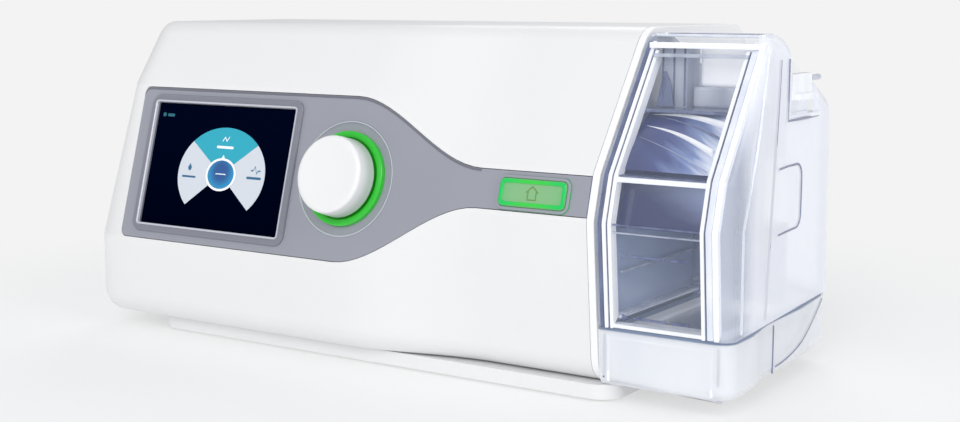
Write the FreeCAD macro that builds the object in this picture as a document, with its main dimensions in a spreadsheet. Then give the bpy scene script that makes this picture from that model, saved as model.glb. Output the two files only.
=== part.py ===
import FreeCAD, Part
import math
import os
from FreeCAD import Rotation, Vector

# Bedside breathing ventilator with a heated water tank docked on its right end.
# Working axes: X runs along the casing from its left end, Y runs back from the
# nose of the front face, Z is up from the table.  Every piece is then moved by
# (-centre_x, -centre_y) so that the origin sits under the middle of the object.

doc = FreeCAD.newDocument("BedsideVentilator")
sheet = doc.addObject("Spreadsheet::Sheet", "Dims")

SIZES = [
    # casing
    ("case_len", 236.3, "length of the casing up to the tank"),
    ("case_h", 125.5, "height of the casing roof"),
    ("case_back", 118.0, "rear face of the casing"),
    ("wall", 2.6, "casing wall"),
    ("trim", 2.8, "width of the end frame"),
    ("plinth_h", 6.0, "height of the plinth under the casing"),
    ("plinth_x", 28.1, "left end of the plinth"),
    ("plinth_over", 5.1, "plinth past the right end of the casing"),
    ("plinth_y", 1.4, "front face of the plinth"),
    ("plinth_round", 9.0, "plan corner of the plinth"),
    ("foot_drop", 0.8, "rubber foot below the plinth"),
    ("roof_left", 26.5, "front edge of the roof, left half"),
    ("roof_right", 35.0, "front edge of the roof, right end"),
    ("toe_left", -8.2, "lower front edge, left half"),
    ("toe_right", 1.6, "lower front edge, right end"),
    # control panel, measured in its own leaning plane
    ("lean", 15.77, "lean of the panel from upright, degrees"),
    ("panel_y", -0.17, "panel plane at the reference height"),
    ("panel_z", 73.4, "reference height of the panel plane"),
    ("panel_x", 19.4, "left edge of the panel"),
    ("panel_stop", 3.0, "right edge of the panel, short of the casing end"),
    ("panel_top", 26.8, "top edge of the wide part"),
    ("panel_bottom", -35.1, "bottom edge of the wide part"),
    ("tail_top", 3.5, "top edge of the narrow part"),
    ("tail_bottom", -10.3, "bottom edge of the narrow part"),
    ("sweep_x", 130.5, "start of the sweep between wide and narrow"),
    ("sweep_len", 59.0, "length of the sweep"),
    ("panel_t", 3.0, "panel thickness"),
    ("fold_margin", 1.2, "casing left between the panel and each fold"),
    ("screen_x", 28.7, "left edge of the screen opening"),
    ("screen_s", -28.8, "bottom edge of the screen opening"),
    ("screen_w", 73.4, "width of the screen opening"),
    ("screen_d", 49.4, "height of the screen opening"),
    ("bezel_w", 3.4, "width of the raised screen frame"),
    # knob and home button
    ("knob_x", 130.0, "knob centre along the panel"),
    ("knob_s", -4.2, "knob centre up the panel"),
    ("knob_rad", 14.5, "knob face radius"),
    ("knob_out", 10.4, "knob face above the panel"),
    ("ring_rad", 17.8, "light ring radius"),
    ("dish_rad", 22.0, "shallow dish around the knob"),
    ("shaft_rad", 3.0, "encoder shaft radius"),
    ("knob_lift", 2.0, "knob skirt above the panel, for its 0.5 push"),
    ("home_x", 211.8, "home button centre along the panel"),
    ("home_s", -4.0, "home button centre up the panel"),
    ("home_w", 26.4, "home button width"),
    ("home_d", 9.6, "home button height"),
    ("home_out", 0.9, "home button above the panel"),
    # tank and dock
    ("tank_len", 47.8, "length of the tank along the casing"),
    ("tank_gap", 0.5, "gap between casing and tank"),
    ("tank_h", 123.6, "roof of the tank"),
    ("tank_back", 106.5, "rear face of the tank"),
    ("tank_wall", 2.2, "clear wall of the tank"),
    ("tank_split", 25.0, "height of the seal line"),
    ("seal_t", 1.6, "seal thickness"),
    ("shelf_len", 41.0, "heater shelf length"),
    ("shelf_top", 19.4, "top of the heater shelf"),
    ("plate_t", 2.0, "heater plate thickness"),
    ("port_rad", 8.5, "air port radius"),
    ("port_z", 88.0, "height of the air ports"),
    ("supply_y", 60.0, "supply port, back from the nose"),
    ("return_inset", 20.5, "return port in front of the tank's rear face"),
    ("outlet_rad", 11.0, "hose connector radius, 22 mm cone"),
    ("outlet_len", 18.0, "hose connector length behind the casing"),
    ("outlet_x", 206.0, "hose connector along the casing"),
    ("hinge_out", 3.4, "tank hinge axis behind the tank"),
    ("hinge_z", 24.6, "tank hinge axis height"),
    ("pin_rad", 1.5, "tank hinge pin radius"),
    # blower
    ("blower_x", 168.0, "blower axis along the casing"),
    ("blower_y", 62.0, "blower axis back from the nose"),
    ("blower_rad", 34.0, "blower housing radius"),
    ("wheel_rad", 26.0, "impeller radius"),
    ("spindle_rad", 1.55, "impeller spindle radius"),
    # shared fits
    ("fit", 0.05, "seated or running clearance"),
    ("gap", 0.3, "clearance round a moving part"),
]


class Dim:
    """A length that carries its number together with its formula."""

    def __init__(self, value, text):
        self.value = float(value)
        self.text = text

    def __add__(self, other):
        other = as_dim(other)
        return Dim(self.value + other.value, "(%s + %s)" % (self.text, other.text))

    def __sub__(self, other):
        other = as_dim(other)
        return Dim(self.value - other.value, "(%s - %s)" % (self.text, other.text))

    def __mul__(self, other):
        other = as_dim(other)
        return Dim(self.value * other.value, "(%s * %s)" % (self.text, other.text))

    def __truediv__(self, other):
        other = as_dim(other)
        return Dim(self.value / other.value, "(%s / %s)" % (self.text, other.text))

    def __radd__(self, other):
        return as_dim(other) + self

    def __rsub__(self, other):
        return as_dim(other) - self

    def __rmul__(self, other):
        return as_dim(other) * self

    def __neg__(self):
        return Dim(-self.value, "(0 - %s)" % self.text)


def as_dim(number):
    if isinstance(number, Dim):
        return number
    return Dim(number, "(%.6g)" % number)


class Sizes:
    pass


d = Sizes()
for row, (alias, number, note) in enumerate(SIZES, 1):
    sheet.set("A%d" % row, alias)
    sheet.set("B%d" % row, str(number))
    sheet.set("C%d" % row, note)
    sheet.setAlias("B%d" % row, alias)
    setattr(d, alias, Dim(number, "Dims." + alias))
doc.recompute()

SIN = Dim(math.sin(math.radians(d.lean.value)), "sin(Dims.lean)")
COS = Dim(math.cos(math.radians(d.lean.value)), "cos(Dims.lean)")
tank_x = d.case_len + d.tank_gap
tank_end = tank_x + d.tank_len
hinge_y = d.tank_back + d.hinge_out
return_y = d.tank_back - d.return_inset
rear_most = d.case_back + d.outlet_len
knob_low = d.knob_s - d.knob_rad
front_most = d.panel_y + knob_low * SIN - d.knob_out * COS
centre_x = tank_end * 0.5
centre_y = (rear_most + front_most) * 0.5

nodes = []


# ---------------------------------------------------------------- placing
def bind(obj, path, length):
    obj.setExpression(path, as_dim(length).text)


def place(obj, x, y, z, axis=None, angle=0.0):
    """Put the object's own origin at casing coordinates x, y, z."""
    spot = [as_dim(x) - centre_x, as_dim(y) - centre_y, as_dim(z)]
    turn = Rotation(axis, angle) if axis else Rotation()
    obj.Placement = FreeCAD.Placement(Vector(*[s.value for s in spot]), turn)
    for letter, length in zip("xyz", spot):
        bind(obj, "Placement.Base." + letter, length)
    return obj


def tilt(obj, x, s, out):
    """Put the object in the panel plane: x along, s up the slope, out of it."""
    y = d.panel_y + as_dim(s) * SIN - as_dim(out) * COS
    z = d.panel_z + as_dim(s) * COS + as_dim(out) * SIN
    place(obj, x, y, z, Vector(1, 0, 0), 90.0 - d.lean.value)
    obj.setExpression("Placement.Rotation.Angle", "90 - Dims.lean")
    return obj


def keep(obj, label):
    """Name a finished sub-part."""
    obj.Label = label
    nodes.append(obj)
    return obj


# ---------------------------------------------------------------- simple solids
def box(x, y, z, dx, dy, dz):
    obj = doc.addObject("Part::Box", "Block")
    for path, length in (("Length", dx), ("Width", dy), ("Height", dz)):
        bind(obj, path, length)
    return place(obj, x, y, z)


def rod(x, y, z, radius, height, axis="Z"):
    """Cylinder starting at x, y, z and running along +X, +Y or +Z."""
    obj = doc.addObject("Part::Cylinder", "Rod")
    bind(obj, "Radius", radius)
    bind(obj, "Height", height)
    turns = {"X": (Vector(0, 1, 0), 90.0), "Y": (Vector(1, 0, 0), -90.0), "Z": (None, 0.0)}
    return place(obj, x, y, z, *turns[axis])


def fuse(parts):
    obj = doc.addObject("Part::MultiFuse", "Joined")
    obj.Shapes = parts
    obj.Refine = True
    return obj


def cut(base, tools):
    obj = doc.addObject("Part::Cut", "Cut")
    obj.Base = base
    obj.Tool = tools[0] if len(tools) == 1 else fuse(tools)
    obj.Refine = True
    return obj


def common(first, second):
    obj = doc.addObject("Part::Common", "Common")
    obj.Base = first
    obj.Tool = second
    return obj


# ---------------------------------------------------------------- sketched bodies
def plane_of(body, role):
    for feature in body.Origin.OriginFeatures:
        if feature.Role == role:
            return feature
    raise ValueError(role)


def sketch_in(body, name, role):
    sketch = body.newObject("Sketcher::SketchObject", name)
    sketch.AttachmentSupport = [(plane_of(body, role), "")]
    sketch.MapMode = "FlatFace"
    return sketch


def pin_point(sketch, geo, pos, x, y, tag):
    """Hold one sketch point at x, y from the sketch origin."""
    import Sketcher
    for letter, length, axis in (("X", as_dim(x), -2), ("Y", as_dim(y), -1)):
        if abs(length.value) < 1e-9:
            sketch.addConstraint(Sketcher.Constraint("PointOnObject", geo, pos, axis))
            continue
        kind = "Distance" + letter
        number = sketch.addConstraint(Sketcher.Constraint(kind, -1, 1, geo, pos, length.value))
        sketch.renameConstraint(number, "%s%s" % (tag, letter))
        sketch.setExpression("Constraints.%s%s" % (tag, letter), length.text)


def polygon(sketch, points):
    """Closed chain of straight lines, each corner held by its own sizes."""
    import Sketcher
    spots = [Vector(as_dim(x).value, as_dim(y).value, 0) for x, y in points]
    count = len(spots)
    for i in range(count):
        sketch.addGeometry(Part.LineSegment(spots[i], spots[(i + 1) % count]), False)
    for i in range(count):
        after = (i + 1) % count
        sketch.addConstraint(Sketcher.Constraint("Coincident", i, 2, after, 1))
    for i, (x, y) in enumerate(points):
        pin_point(sketch, i, 1, x, y, "p%d" % i)


def circles(sketch, rings):
    import Sketcher
    for i, (x, y, radius) in enumerate(rings):
        spot = Vector(as_dim(x).value, as_dim(y).value, 0)
        sketch.addGeometry(Part.Circle(spot, Vector(0, 0, 1), as_dim(radius).value), False)
        pin_point(sketch, i, 3, x, y, "c%d" % i)
        size = as_dim(radius)
        number = sketch.addConstraint(Sketcher.Constraint("Radius", i, size.value))
        sketch.renameConstraint(number, "r%d" % i)
        sketch.setExpression("Constraints.r%d" % i, size.text)


def turned(points):
    """Solid of revolution about the body's own Z from (radius, height) corners."""
    body = doc.addObject("PartDesign::Body", "Turned")
    sketch = sketch_in(body, "Outline", "XZ_Plane")
    polygon(sketch, points)
    spin = body.newObject("PartDesign::Revolution", "Spin")
    spin.Profile = sketch
    spin.ReferenceAxis = (sketch, ["V_Axis"])
    spin.Angle = 360
    sketch.Visibility = False
    return body


def plate(dx, dy, dz, corner=None, holes=()):
    """Flat rectangular plate from the body origin, with rounded corners and holes."""
    body = doc.addObject("PartDesign::Body", "Plate")
    sketch = sketch_in(body, "Outline", "XY_Plane")
    polygon(sketch, [(0, 0), (dx, 0), (dx, dy), (0, dy)])
    pad = body.newObject("PartDesign::Pad", "Thickness")
    pad.Profile = sketch
    bind(pad, "Length", dz)
    if corner is not None:
        doc.recompute()
        upright = []
        for i, edge in enumerate(pad.Shape.Edges, 1):
            if abs(edge.tangentAt(edge.FirstParameter).z) > 0.99:
                upright.append("Edge%d" % i)
        rounds = body.newObject("PartDesign::Fillet", "Corners")
        rounds.Base = (pad, upright)
        bind(rounds, "Radius", corner)
    if holes:
        drill = sketch_in(body, "Holes", "XY_Plane")
        circles(drill, holes)
        pocket = body.newObject("PartDesign::Pocket", "Drilled")
        pocket.Profile = drill
        pocket.Type = "ThroughAll"
        pocket.Midplane = True
    return body


# ---------------------------------------------------------------- casing sections
def smooth(t):
    t = min(1.0, max(0.0, t))
    return t * t * (3.0 - 2.0 * t)


def mix(a, b, t):
    return a + (b - a) * t


def quarter(x, radius):
    """How far a quarter-round has drawn in, x from the end it closes."""
    if x >= radius:
        return 0.0
    return radius - math.sqrt(max(0.0, radius ** 2 - (radius - x) ** 2))


def inset_corners(corners, distance):
    """Corners of the polygon lying this far inside an anticlockwise one."""
    result = []
    count = len(corners)
    for i, (y, z) in enumerate(corners):
        before = corners[i - 1]
        after = corners[(i + 1) % count]
        normals = []
        for start, end in ((before, (y, z)), ((y, z), after)):
            run = math.hypot(end[0] - start[0], end[1] - start[1])
            normals.append(((start[1] - end[1]) / run, (end[0] - start[0]) / run))
        (ay, az), (by, bz) = normals
        scale = distance / (1.0 + ay * by + az * bz)
        result.append((y + (ay + by) * scale, z + (az + bz) * scale))
    return result


def rounded_wire(corners, radii, lift):
    """Closed wire of straight edges and corner arcs; lift turns 2-D into 3-D."""
    joints = []
    count = len(corners)
    for i, (y, z) in enumerate(corners):
        here = Vector(y, z, 0)
        back = (Vector(*corners[i - 1], 0) - here).normalize()
        ahead = (Vector(*corners[(i + 1) % count], 0) - here).normalize()
        half = back.getAngle(ahead) / 2.0
        middle = (back + ahead).normalize()
        radius = max(radii[i], 0.3)
        reach = radius / math.tan(half)
        centre = here + middle * (radius / math.sin(half))
        joints.append((here + back * reach, centre - middle * radius, here + ahead * reach))
    edges = []
    for i, (start, crown, end) in enumerate(joints):
        following = joints[(i + 1) % count][0]
        edges.append(Part.Arc(lift(start), lift(crown), lift(end)).toShape())
        edges.append(Part.LineSegment(lift(end), lift(following)).toShape())
    return Part.Wire(edges)


def panel_spot(s, out=0.0):
    y = d.panel_y.value + s * SIN.value - out * COS.value
    z = d.panel_z.value + s * COS.value + out * SIN.value
    return y, z


def sweep_at(x):
    return smooth((x - d.sweep_x.value) / d.sweep_len.value)


CORNER_ROUND = [10.0, 8.0, 12.0, 12.0, 5.0, 6.0]
END_FRONT = [13.0, 14.0, 14.0, 20.0, 23.0, 16.0]
END_UP = [6.0, 6.0, 8.0, 8.0, 0.0, 0.0]


def casing_wire(x, inset=0.0):
    """Section of the casing at x: toe, heel, rear roof, roof, upper and lower fold."""
    t = sweep_at(x)
    top = mix(d.panel_top.value, d.tail_top.value, t) + d.fold_margin.value
    bottom = mix(d.panel_bottom.value, d.tail_bottom.value, t) - d.fold_margin.value
    corners = [
        (mix(d.toe_left.value, d.toe_right.value, t), d.plinth_h.value),
        (d.case_back.value, d.plinth_h.value),
        (d.case_back.value, d.case_h.value),
        (mix(d.roof_left.value, d.roof_right.value, t), d.case_h.value),
        panel_spot(top),
        panel_spot(bottom),
    ]
    closed = []
    for i, (y, z) in enumerate(corners):
        along = quarter(max(x - inset, 0.0), END_FRONT[i] - inset)
        upward = quarter(max(x - inset, 0.0), END_UP[i] - inset) if END_UP[i] else 0.0
        y += -along if i in (1, 2) else along
        z += upward if i in (0, 1) else -upward
        closed.append((y, z))
    radii = [radius - inset * 0.8 for radius in CORNER_ROUND]
    return rounded_wire(inset_corners(closed, inset), radii, lambda p: Vector(x, p.x, p.y))


def lofted(stations, section):
    return Part.makeLoft([section(x) for x in stations], True, False)


def casing_solid(start, end, inset=0.0):
    """Casing between two stations, drawn in by inset all round."""
    close = 24.0
    shares = [0.0, 0.02, 0.08, 0.18, 0.32, 0.5, 0.72, 1.0]
    sweep_from = d.sweep_x.value
    sweep_to = sweep_from + d.sweep_len.value
    runs = []
    if start < close:
        runs.append([mix(start, close, share) for share in shares])
        runs.append([close, sweep_from])
        runs.append([mix(sweep_from, sweep_to, i / 8.0) for i in range(9)])
        runs.append([sweep_to, end])
    else:
        runs.append([start, end])
    solid = None
    for stations in runs:
        piece = lofted(stations, lambda x: casing_wire(x, inset))
        solid = piece if solid is None else solid.fuse(piece)
    return solid.removeSplitter()


def shaped(shape, x=0.0, y=0.0, z=0.0):
    """Document object for a free-form solid drawn in casing coordinates."""
    obj = doc.addObject("Part::Feature", "Form")
    obj.Shape = shape
    return place(obj, x, y, z)


def panel_outline(grow):
    """Face of the control panel outline in (x, s), grown by a clearance."""
    left = d.panel_x.value - grow
    right = d.case_len.value - d.panel_stop.value + grow
    from_x = d.sweep_x.value
    to_x = from_x + d.sweep_len.value

    def curve(wide, narrow, offset, reverse):
        spots = []
        for i in range(9):
            x = mix(from_x, to_x, i / 8.0)
            spots.append(Vector(x, mix(wide, narrow, sweep_at(x)) + offset, 0))
        if reverse:
            spots.reverse()
        spline = Part.BSplineCurve()
        flat = Vector(-1 if reverse else 1, 0, 0)
        spline.interpolate(spots, InitialTangent=flat, FinalTangent=flat)
        return spline.toShape()

    top = curve(d.panel_top.value, d.tail_top.value, grow, True)
    bottom = curve(d.panel_bottom.value, d.tail_bottom.value, -grow, False)
    high = d.panel_top.value + grow
    low = d.panel_bottom.value - grow
    tail_high = d.tail_top.value + grow
    tail_low = d.tail_bottom.value - grow
    r = 3.0
    k = r * (1.0 - math.sqrt(0.5))
    edges = [
        Part.Arc(Vector(left, low + r, 0), Vector(left + k, low + k, 0), Vector(left + r, low, 0)),
        Part.LineSegment(Vector(left + r, low, 0), Vector(from_x, low, 0)),
        bottom,
        Part.LineSegment(Vector(to_x, tail_low, 0), Vector(right, tail_low, 0)),
        Part.LineSegment(Vector(right, tail_low, 0), Vector(right, tail_high, 0)),
        Part.LineSegment(Vector(right, tail_high, 0), Vector(to_x, tail_high, 0)),
        top,
        Part.LineSegment(Vector(from_x, high, 0), Vector(left + r, high, 0)),
        Part.Arc(Vector(left + r, high, 0), Vector(left + k, high - k, 0), Vector(left, high - r, 0)),
        Part.LineSegment(Vector(left, high - r, 0), Vector(left, low + r, 0)),
    ]
    shapes = [e if isinstance(e, Part.Shape) else e.toShape() for e in edges]
    return Part.Face(Part.Wire(Part.__sortEdges__(shapes)))


def panel_slab(grow, low, high):
    face = panel_outline(grow)
    face.translate(Vector(0, 0, low))
    obj = doc.addObject("Part::Feature", "PanelForm")
    obj.Shape = face.extrude(Vector(0, 0, high - low))
    return tilt(obj, 0, 0, 0)


# ---------------------------------------------------------------- casing
seat = d.fit
shell_end = d.case_len - d.trim
skin = casing_solid(0.0, shell_end.value)
hollow = casing_solid(d.wall.value, shell_end.value, d.wall.value)
blank = shaped(skin.cut(hollow))

floor_x = 16.0
floor_y = 14.0
floor_len = d.case_len - 31.3
floor_dep = d.case_back - 28.0
boss_x = (as_dim(26.0), d.case_len - 25.3)
boss_y = (as_dim(19.5), d.case_back - 19.5)
bosses = []
for bx, front_wall in zip(boss_x, (d.toe_left.value + 3.8, d.toe_right.value + 3.8)):
    for by, wall_y in ((boss_y[0], front_wall), (boss_y[1], d.case_back.value - 2.2)):
        bosses.append(rod(bx, by, d.plinth_h + 3.1, 4.0, 16.0))
        low = min(by.value, wall_y)
        run = abs(by.value - wall_y)
        bosses.append(box(bx - 1.0, low, d.plinth_h + 3.1, 2.0, run, 14.0))

# rear filter door, card door, sockets
door_x, door_z, door_w, door_h = 70.0, 46.0, 52.0, 50.0
card_y, card_z, card_w, card_h = 56.0, 52.0, 30.0, 20.0
socket_x, socket_z = 44.0, 27.0
peg_rad = 0.7
back = d.case_back
openings = [
    panel_slab(0.25, -9.0, 7.0),
    box(floor_x, floor_y, d.plinth_h - 1.0, floor_len, floor_dep, 6.0),
    box(door_x, back - 1.9, door_z, door_w, 5.0, door_h),
    box(door_x + 4, back - 8.0, door_z + 4, door_w - 8, 12.0, door_h - 8),
    box(door_x, back - 6.0, door_z, door_w, 8.0, 4.2),
    rod(door_x - 3.0, back - 0.9, door_z + 2.2, peg_rad + seat, door_w + 6.0, "X"),
    box(-1.0, card_y, card_z, 2.9, card_w, card_h),
    box(-1.0, card_y + 4, card_z + 4, 8.0, card_w - 8, card_h - 8),
    box(-1.0, card_y, card_z, 6.0, 4.2, card_h),
    rod(0.9, card_y + 2.2, card_z - 3.0, peg_rad + seat, card_h + 6.0),
    rod(d.outlet_x, back - 6.0, d.port_z, d.outlet_rad + 0.5, 10.0, "Y"),
    box(socket_x - 11.0, back - 6.0, socket_z - 7.0, 22.0, 10.0, 14.0),
]
keep(cut(fuse([blank] + bosses), openings), "upper_shell")

# end frame: white trim band, closing wall and locating lip
band = casing_solid(shell_end.value + seat.value, d.case_len.value)
lip = casing_solid(shell_end.value - 4.0, shell_end.value + 1.0, d.wall.value + 0.2)
lip_core = casing_solid(shell_end.value - 5.0, shell_end.value + 0.05, d.wall.value + 1.8)
frame_holes = []
for port_y in (d.supply_y, return_y):
    frame_holes.append(rod(shell_end - 3, port_y, d.port_z, d.port_rad, 10.0, "X"))
    frame_holes.append(rod(d.case_len - 1.2, port_y, d.port_z, d.port_rad + 3.8, 5.0, "X"))
lip_relief = panel_slab(0.6, -9.0, 7.0)
band_form = shaped(band.fuse(lip.cut(lip_core)).removeSplitter())
relief = common(lip_relief, box(shell_end - 10, -20, 0, 10, 60, 130))
keep(cut(band_form, frame_holes + [relief]), "end_frame")
for port_y, label in ((d.supply_y, "dock_gasket_supply"), (return_y, "dock_gasket_return")):
    ring = turned([
        (d.port_rad + 0.2, 0), (d.port_rad + 3.7, 0), (d.port_rad + 3.7, 1.1),
        (d.port_rad + 1.9, 1.35), (d.port_rad + 0.2, 1.1),
    ])
    keep(place(ring, d.case_len - 1.15, port_y, d.port_z, Vector(0, 1, 0), 90.0), label)

# bottom tray: plinth, floor, rails for the upright board
tray_plinth = plate(d.case_len + d.plinth_over - d.plinth_x, d.case_back - d.plinth_y - 6.0,
                    d.plinth_h - d.foot_drop - seat, d.plinth_round)
place(tray_plinth, d.plinth_x, d.plinth_y, d.foot_drop)
tray_floor = plate(floor_len - 0.6, floor_dep - 0.6, 3.3, 4.0)
place(tray_floor, floor_x + 0.3, floor_y + 0.3, d.plinth_h - 0.3)
board_y = 30.0
rails = []
for rail_x in (28.0, 112.0):
    rails.append(box(rail_x, board_y - 2.2, d.plinth_h + 2.0, 8.0, 6.0, 8.0))
tray_cuts = []
for rail_x in (28.0, 112.0):
    tray_cuts.append(box(rail_x - 1, board_y - 0.1, d.plinth_h + 3.3, 10.0, 1.8, 9.0))
for bx in boss_x:
    for by in boss_y:
        tray_cuts.append(rod(bx, by, 0, 3.2, 5.0))
        tray_cuts.append(rod(bx, by, 0, 1.7, 12.0))
foot_right = d.case_len - 10.3
foot_rear = d.case_back - 20.0
foot_spots = [(42.0, 14.0), (42.0, foot_rear), (foot_right, 14.0), (foot_right, foot_rear)]
for fx, fy in foot_spots:
    tray_cuts.append(rod(fx, fy, 0, 6.1, d.foot_drop + 1.2))
keep(cut(fuse([tray_plinth, tray_floor] + rails), tray_cuts), "bottom_tray")
for i, (fx, fy) in enumerate(foot_spots, 1):
    foot = turned([(0, 0), (5.2, 0), (6.0, d.foot_drop), (6.0, d.foot_drop + 1.15),
                   (0, d.foot_drop + 1.15)])
    keep(place(foot, fx, fy, 0), "foot_%d" % i)
for i, (bx, by) in enumerate([(x, y) for x in boss_x for y in boss_y], 1):
    screw = turned([(0, 0), (2.8, 0), (3.0, 0.4), (3.0, 1.8), (1.6, 1.8), (1.6, 4.0),
                    (0.8, 4.05), (0, 4.05)])
    keep(place(screw, bx, by, 3.15), "case_screw_%d" % i)

# ---------------------------------------------------------------- control panel
rim = d.bezel_w
window = plate(d.screen_w + 3.2, d.screen_d + 3.2, 12.0, 4.0)
tilt(window, d.screen_x - 1.6, d.screen_s - 1.6, -8.0)
knob_hole = doc.addObject("Part::Cylinder", "KnobHole")
bind(knob_hole, "Radius", d.ring_rad + seat)
bind(knob_hole, "Height", 12)
tilt(knob_hole, d.knob_x, d.knob_s, -8.0)
dish = doc.addObject("Part::Cylinder", "Dish")
bind(dish, "Radius", d.dish_rad)
bind(dish, "Height", 4)
tilt(dish, d.knob_x, d.knob_s, -0.7)
home_hole = plate(d.home_w + 2.7, d.home_d + 2.7, 12.0, 3.2)
tilt(home_hole, d.home_x - (d.home_w + 2.7) * 0.5, d.home_s - (d.home_d + 2.7) * 0.5, -8.0)
panel_form = panel_slab(0.0, -d.panel_t.value, 0.0)
keep(cut(panel_form, [window, knob_hole, dish, home_hole]), "front_panel")

flange = plate(d.screen_w + rim * 2, d.screen_d + rim * 2, 1.1, 5.2)
tilt(flange, d.screen_x - rim, d.screen_s - rim, seat)
skirt = plate(d.screen_w + 3.1, d.screen_d + 3.1, d.panel_t + 0.5, 3.9)
tilt(skirt, d.screen_x - 1.55, d.screen_s - 1.55, -d.panel_t)
opening = plate(d.screen_w, d.screen_d, 12.0, 2.6)
tilt(opening, d.screen_x, d.screen_s, -8.0)
keep(cut(fuse([flange, skirt]), [opening]), "screen_bezel")
lens = plate(d.screen_w - 0.1, d.screen_d - 0.1, 1.4, 2.55)
keep(tilt(lens, d.screen_x + seat, d.screen_s + seat, -2.0), "screen_lens")
lcd = plate(d.screen_w + 3.6, d.screen_d + 3.6, 4.8, 1.0)
keep(tilt(lcd, d.screen_x - 1.8, d.screen_s - 1.8, -(d.panel_t + 4.85)), "lcd_module")
board_out = -(d.panel_t + 6.5)
display_board = plate(122.0, 51.0, 1.6, 2.0, [(4.0, 4.0, 1.6), (4.0, 47.0, 1.6),
                                             (118.0, 4.0, 1.6), (118.0, 47.0, 1.6)])
keep(tilt(display_board, 24.0, -30.0, board_out), "display_board")

encoder = plate(14.0, 14.0, 4.8, 1.0, [(7.0, 7.0, d.shaft_rad + seat)])
tilt(encoder, d.knob_x - 7.0, d.knob_s - 7.0, -(d.panel_t + 4.85))
keep(encoder, "encoder_base")
plunger = turned([(0, 0), (d.shaft_rad, 0), (d.shaft_rad, 15.0), (d.shaft_rad - 0.4, 15.4),
                  (0, 15.4)])
keep(tilt(plunger, d.knob_x, d.knob_s, -6.7), "encoder_plunger")
edge = d.knob_rad
crown = d.knob_out
bore = d.shaft_rad + seat
cap = turned([
    (0, crown - 0.5), (edge - 4.0, crown - 0.5), (edge - 3.0, crown), (edge - 0.8, crown),
    (edge, crown - 0.8), (edge + 0.4, d.knob_lift), (edge - 1.3, d.knob_lift), (edge - 1.6, crown - 2.2),
    (bore + 2.2, crown - 2.2), (bore + 2.2, 2.2), (bore, 2.2), (bore, 8.75), (0, 8.75),
])
keep(tilt(cap, d.knob_x, d.knob_s, 0), "knob_cap")
glow = d.ring_rad
light = turned([
    (4.4, -2.95), (glow, -2.95), (glow, 1.0), (glow - 0.7, 1.4), (edge + 1.3, 1.4),
    (edge + 0.8, 1.0), (edge + 0.8, -1.5), (4.4, -1.5),
])
keep(tilt(light, d.knob_x, d.knob_s, 0), "knob_light_ring")

guide_w = d.home_w + 2.6
guide_d = d.home_d + 2.6
guide = plate(guide_w, guide_d, d.panel_t + 5.3, 3.1)
tilt(guide, d.home_x - guide_w * 0.5, d.home_s - guide_d * 0.5, -(d.panel_t + 4.85))
guide_core = plate(d.home_w + d.gap * 2, d.home_d + d.gap * 2, 16.0, 2.0)
tilt(guide_core, d.home_x - d.home_w * 0.5 - d.gap, d.home_s - d.home_d * 0.5 - d.gap, -9.0)
keep(cut(guide, [guide_core]), "home_light_guide")
button = plate(d.home_w, d.home_d, d.home_out + 2.9, 1.8)
keep(tilt(button, d.home_x - d.home_w * 0.5, d.home_s - d.home_d * 0.5, -2.9), "home_button")
home_board = plate(34.0, 12.4, 1.6, 1.0)
tilt(home_board, d.home_x - 17.0, d.home_s - 6.2, board_out)
switch = plate(7.0, 6.0, 4.3, 0.5)
tilt(switch, d.home_x - 3.5, d.home_s - 3.0, board_out + 1.5)
keep(fuse([home_board, switch]), "home_switch_board")

# ---------------------------------------------------------------- electronics
main_board = box(14.0, board_y, d.plinth_h + 3.35, 112.0, 1.6, 86.0)
keep(main_board, "main_board")
keep(box(24.0, board_y + 1.65, 44.0, 38.0, 5.0, 34.0), "board_shield")
inlet_body = box(socket_x - 10.8, back - 14.0, socket_z - 6.8, 21.6, 14.6, 13.6)
inlet_cuts = [
    rod(socket_x, back - 2.6, socket_z, 4.4, 4.0, "Y"),
    rod(socket_x, back - 10.0, socket_z, 3.6, 9.0, "Y"),
]
inlet_pin = rod(socket_x, back - 12.0, socket_z, 1.2, 9.2, "Y")
keep(fuse([cut(inlet_body, inlet_cuts), inlet_pin]), "power_inlet")
card_slot = cut(box(d.wall + 0.15, card_y + 3.0, card_z + 7.0, 26.0, 24.0, 5.0),
                [box(0.0, card_y + 5.0, card_z + 8.4, 24.0, 20.0, 2.2)])
keep(card_slot, "card_reader")

# ---------------------------------------------------------------- air path in
mute_x, mute_y, mute_z = 62.0, 40.0, 9.2
mute_w, mute_d, mute_h = 64.0, 66.0, 92.0
mute_box = box(mute_x, mute_y, mute_z, mute_w, mute_d, mute_h)
mute_core = box(mute_x + 2, mute_y + 2, mute_z + 2, mute_w - 4, mute_d - 4, mute_h - 4)
door_mid_x = door_x + 4
door_mid_z = door_z + 4
mute_front = box(door_mid_x, mute_y + mute_d - 5, door_mid_z, door_w - 8, 10.0, door_h - 8)
duct_z = 62.0
side_port = box(mute_x + mute_w - 6, d.blower_y - 10, duct_z, 12.0, 20.0, 14.0)
keep(cut(mute_box, [mute_core, mute_front, side_port]), "silencer_box")
foam = box(mute_x + 2.2, mute_y + 2.2, mute_z + 2.2, mute_w - 4.4, mute_d - 4.4, mute_h - 4.4)
passage = box(mute_x + 14, mute_y + 14, mute_z + 44, mute_w - 28, mute_d, 34.0)
turn_out = box(mute_x + 30, d.blower_y - 10, duct_z, 60.0, 20.0, 14.0)
keep(cut(foam, [passage, turn_out]), "silencer_foam")
filter_y = mute_y + mute_d + 0.1
keep(box(door_x + 4.3, filter_y, door_z + 4.3, door_w - 8.6, 8.6, door_h - 8.6), "inlet_filter")

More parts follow.
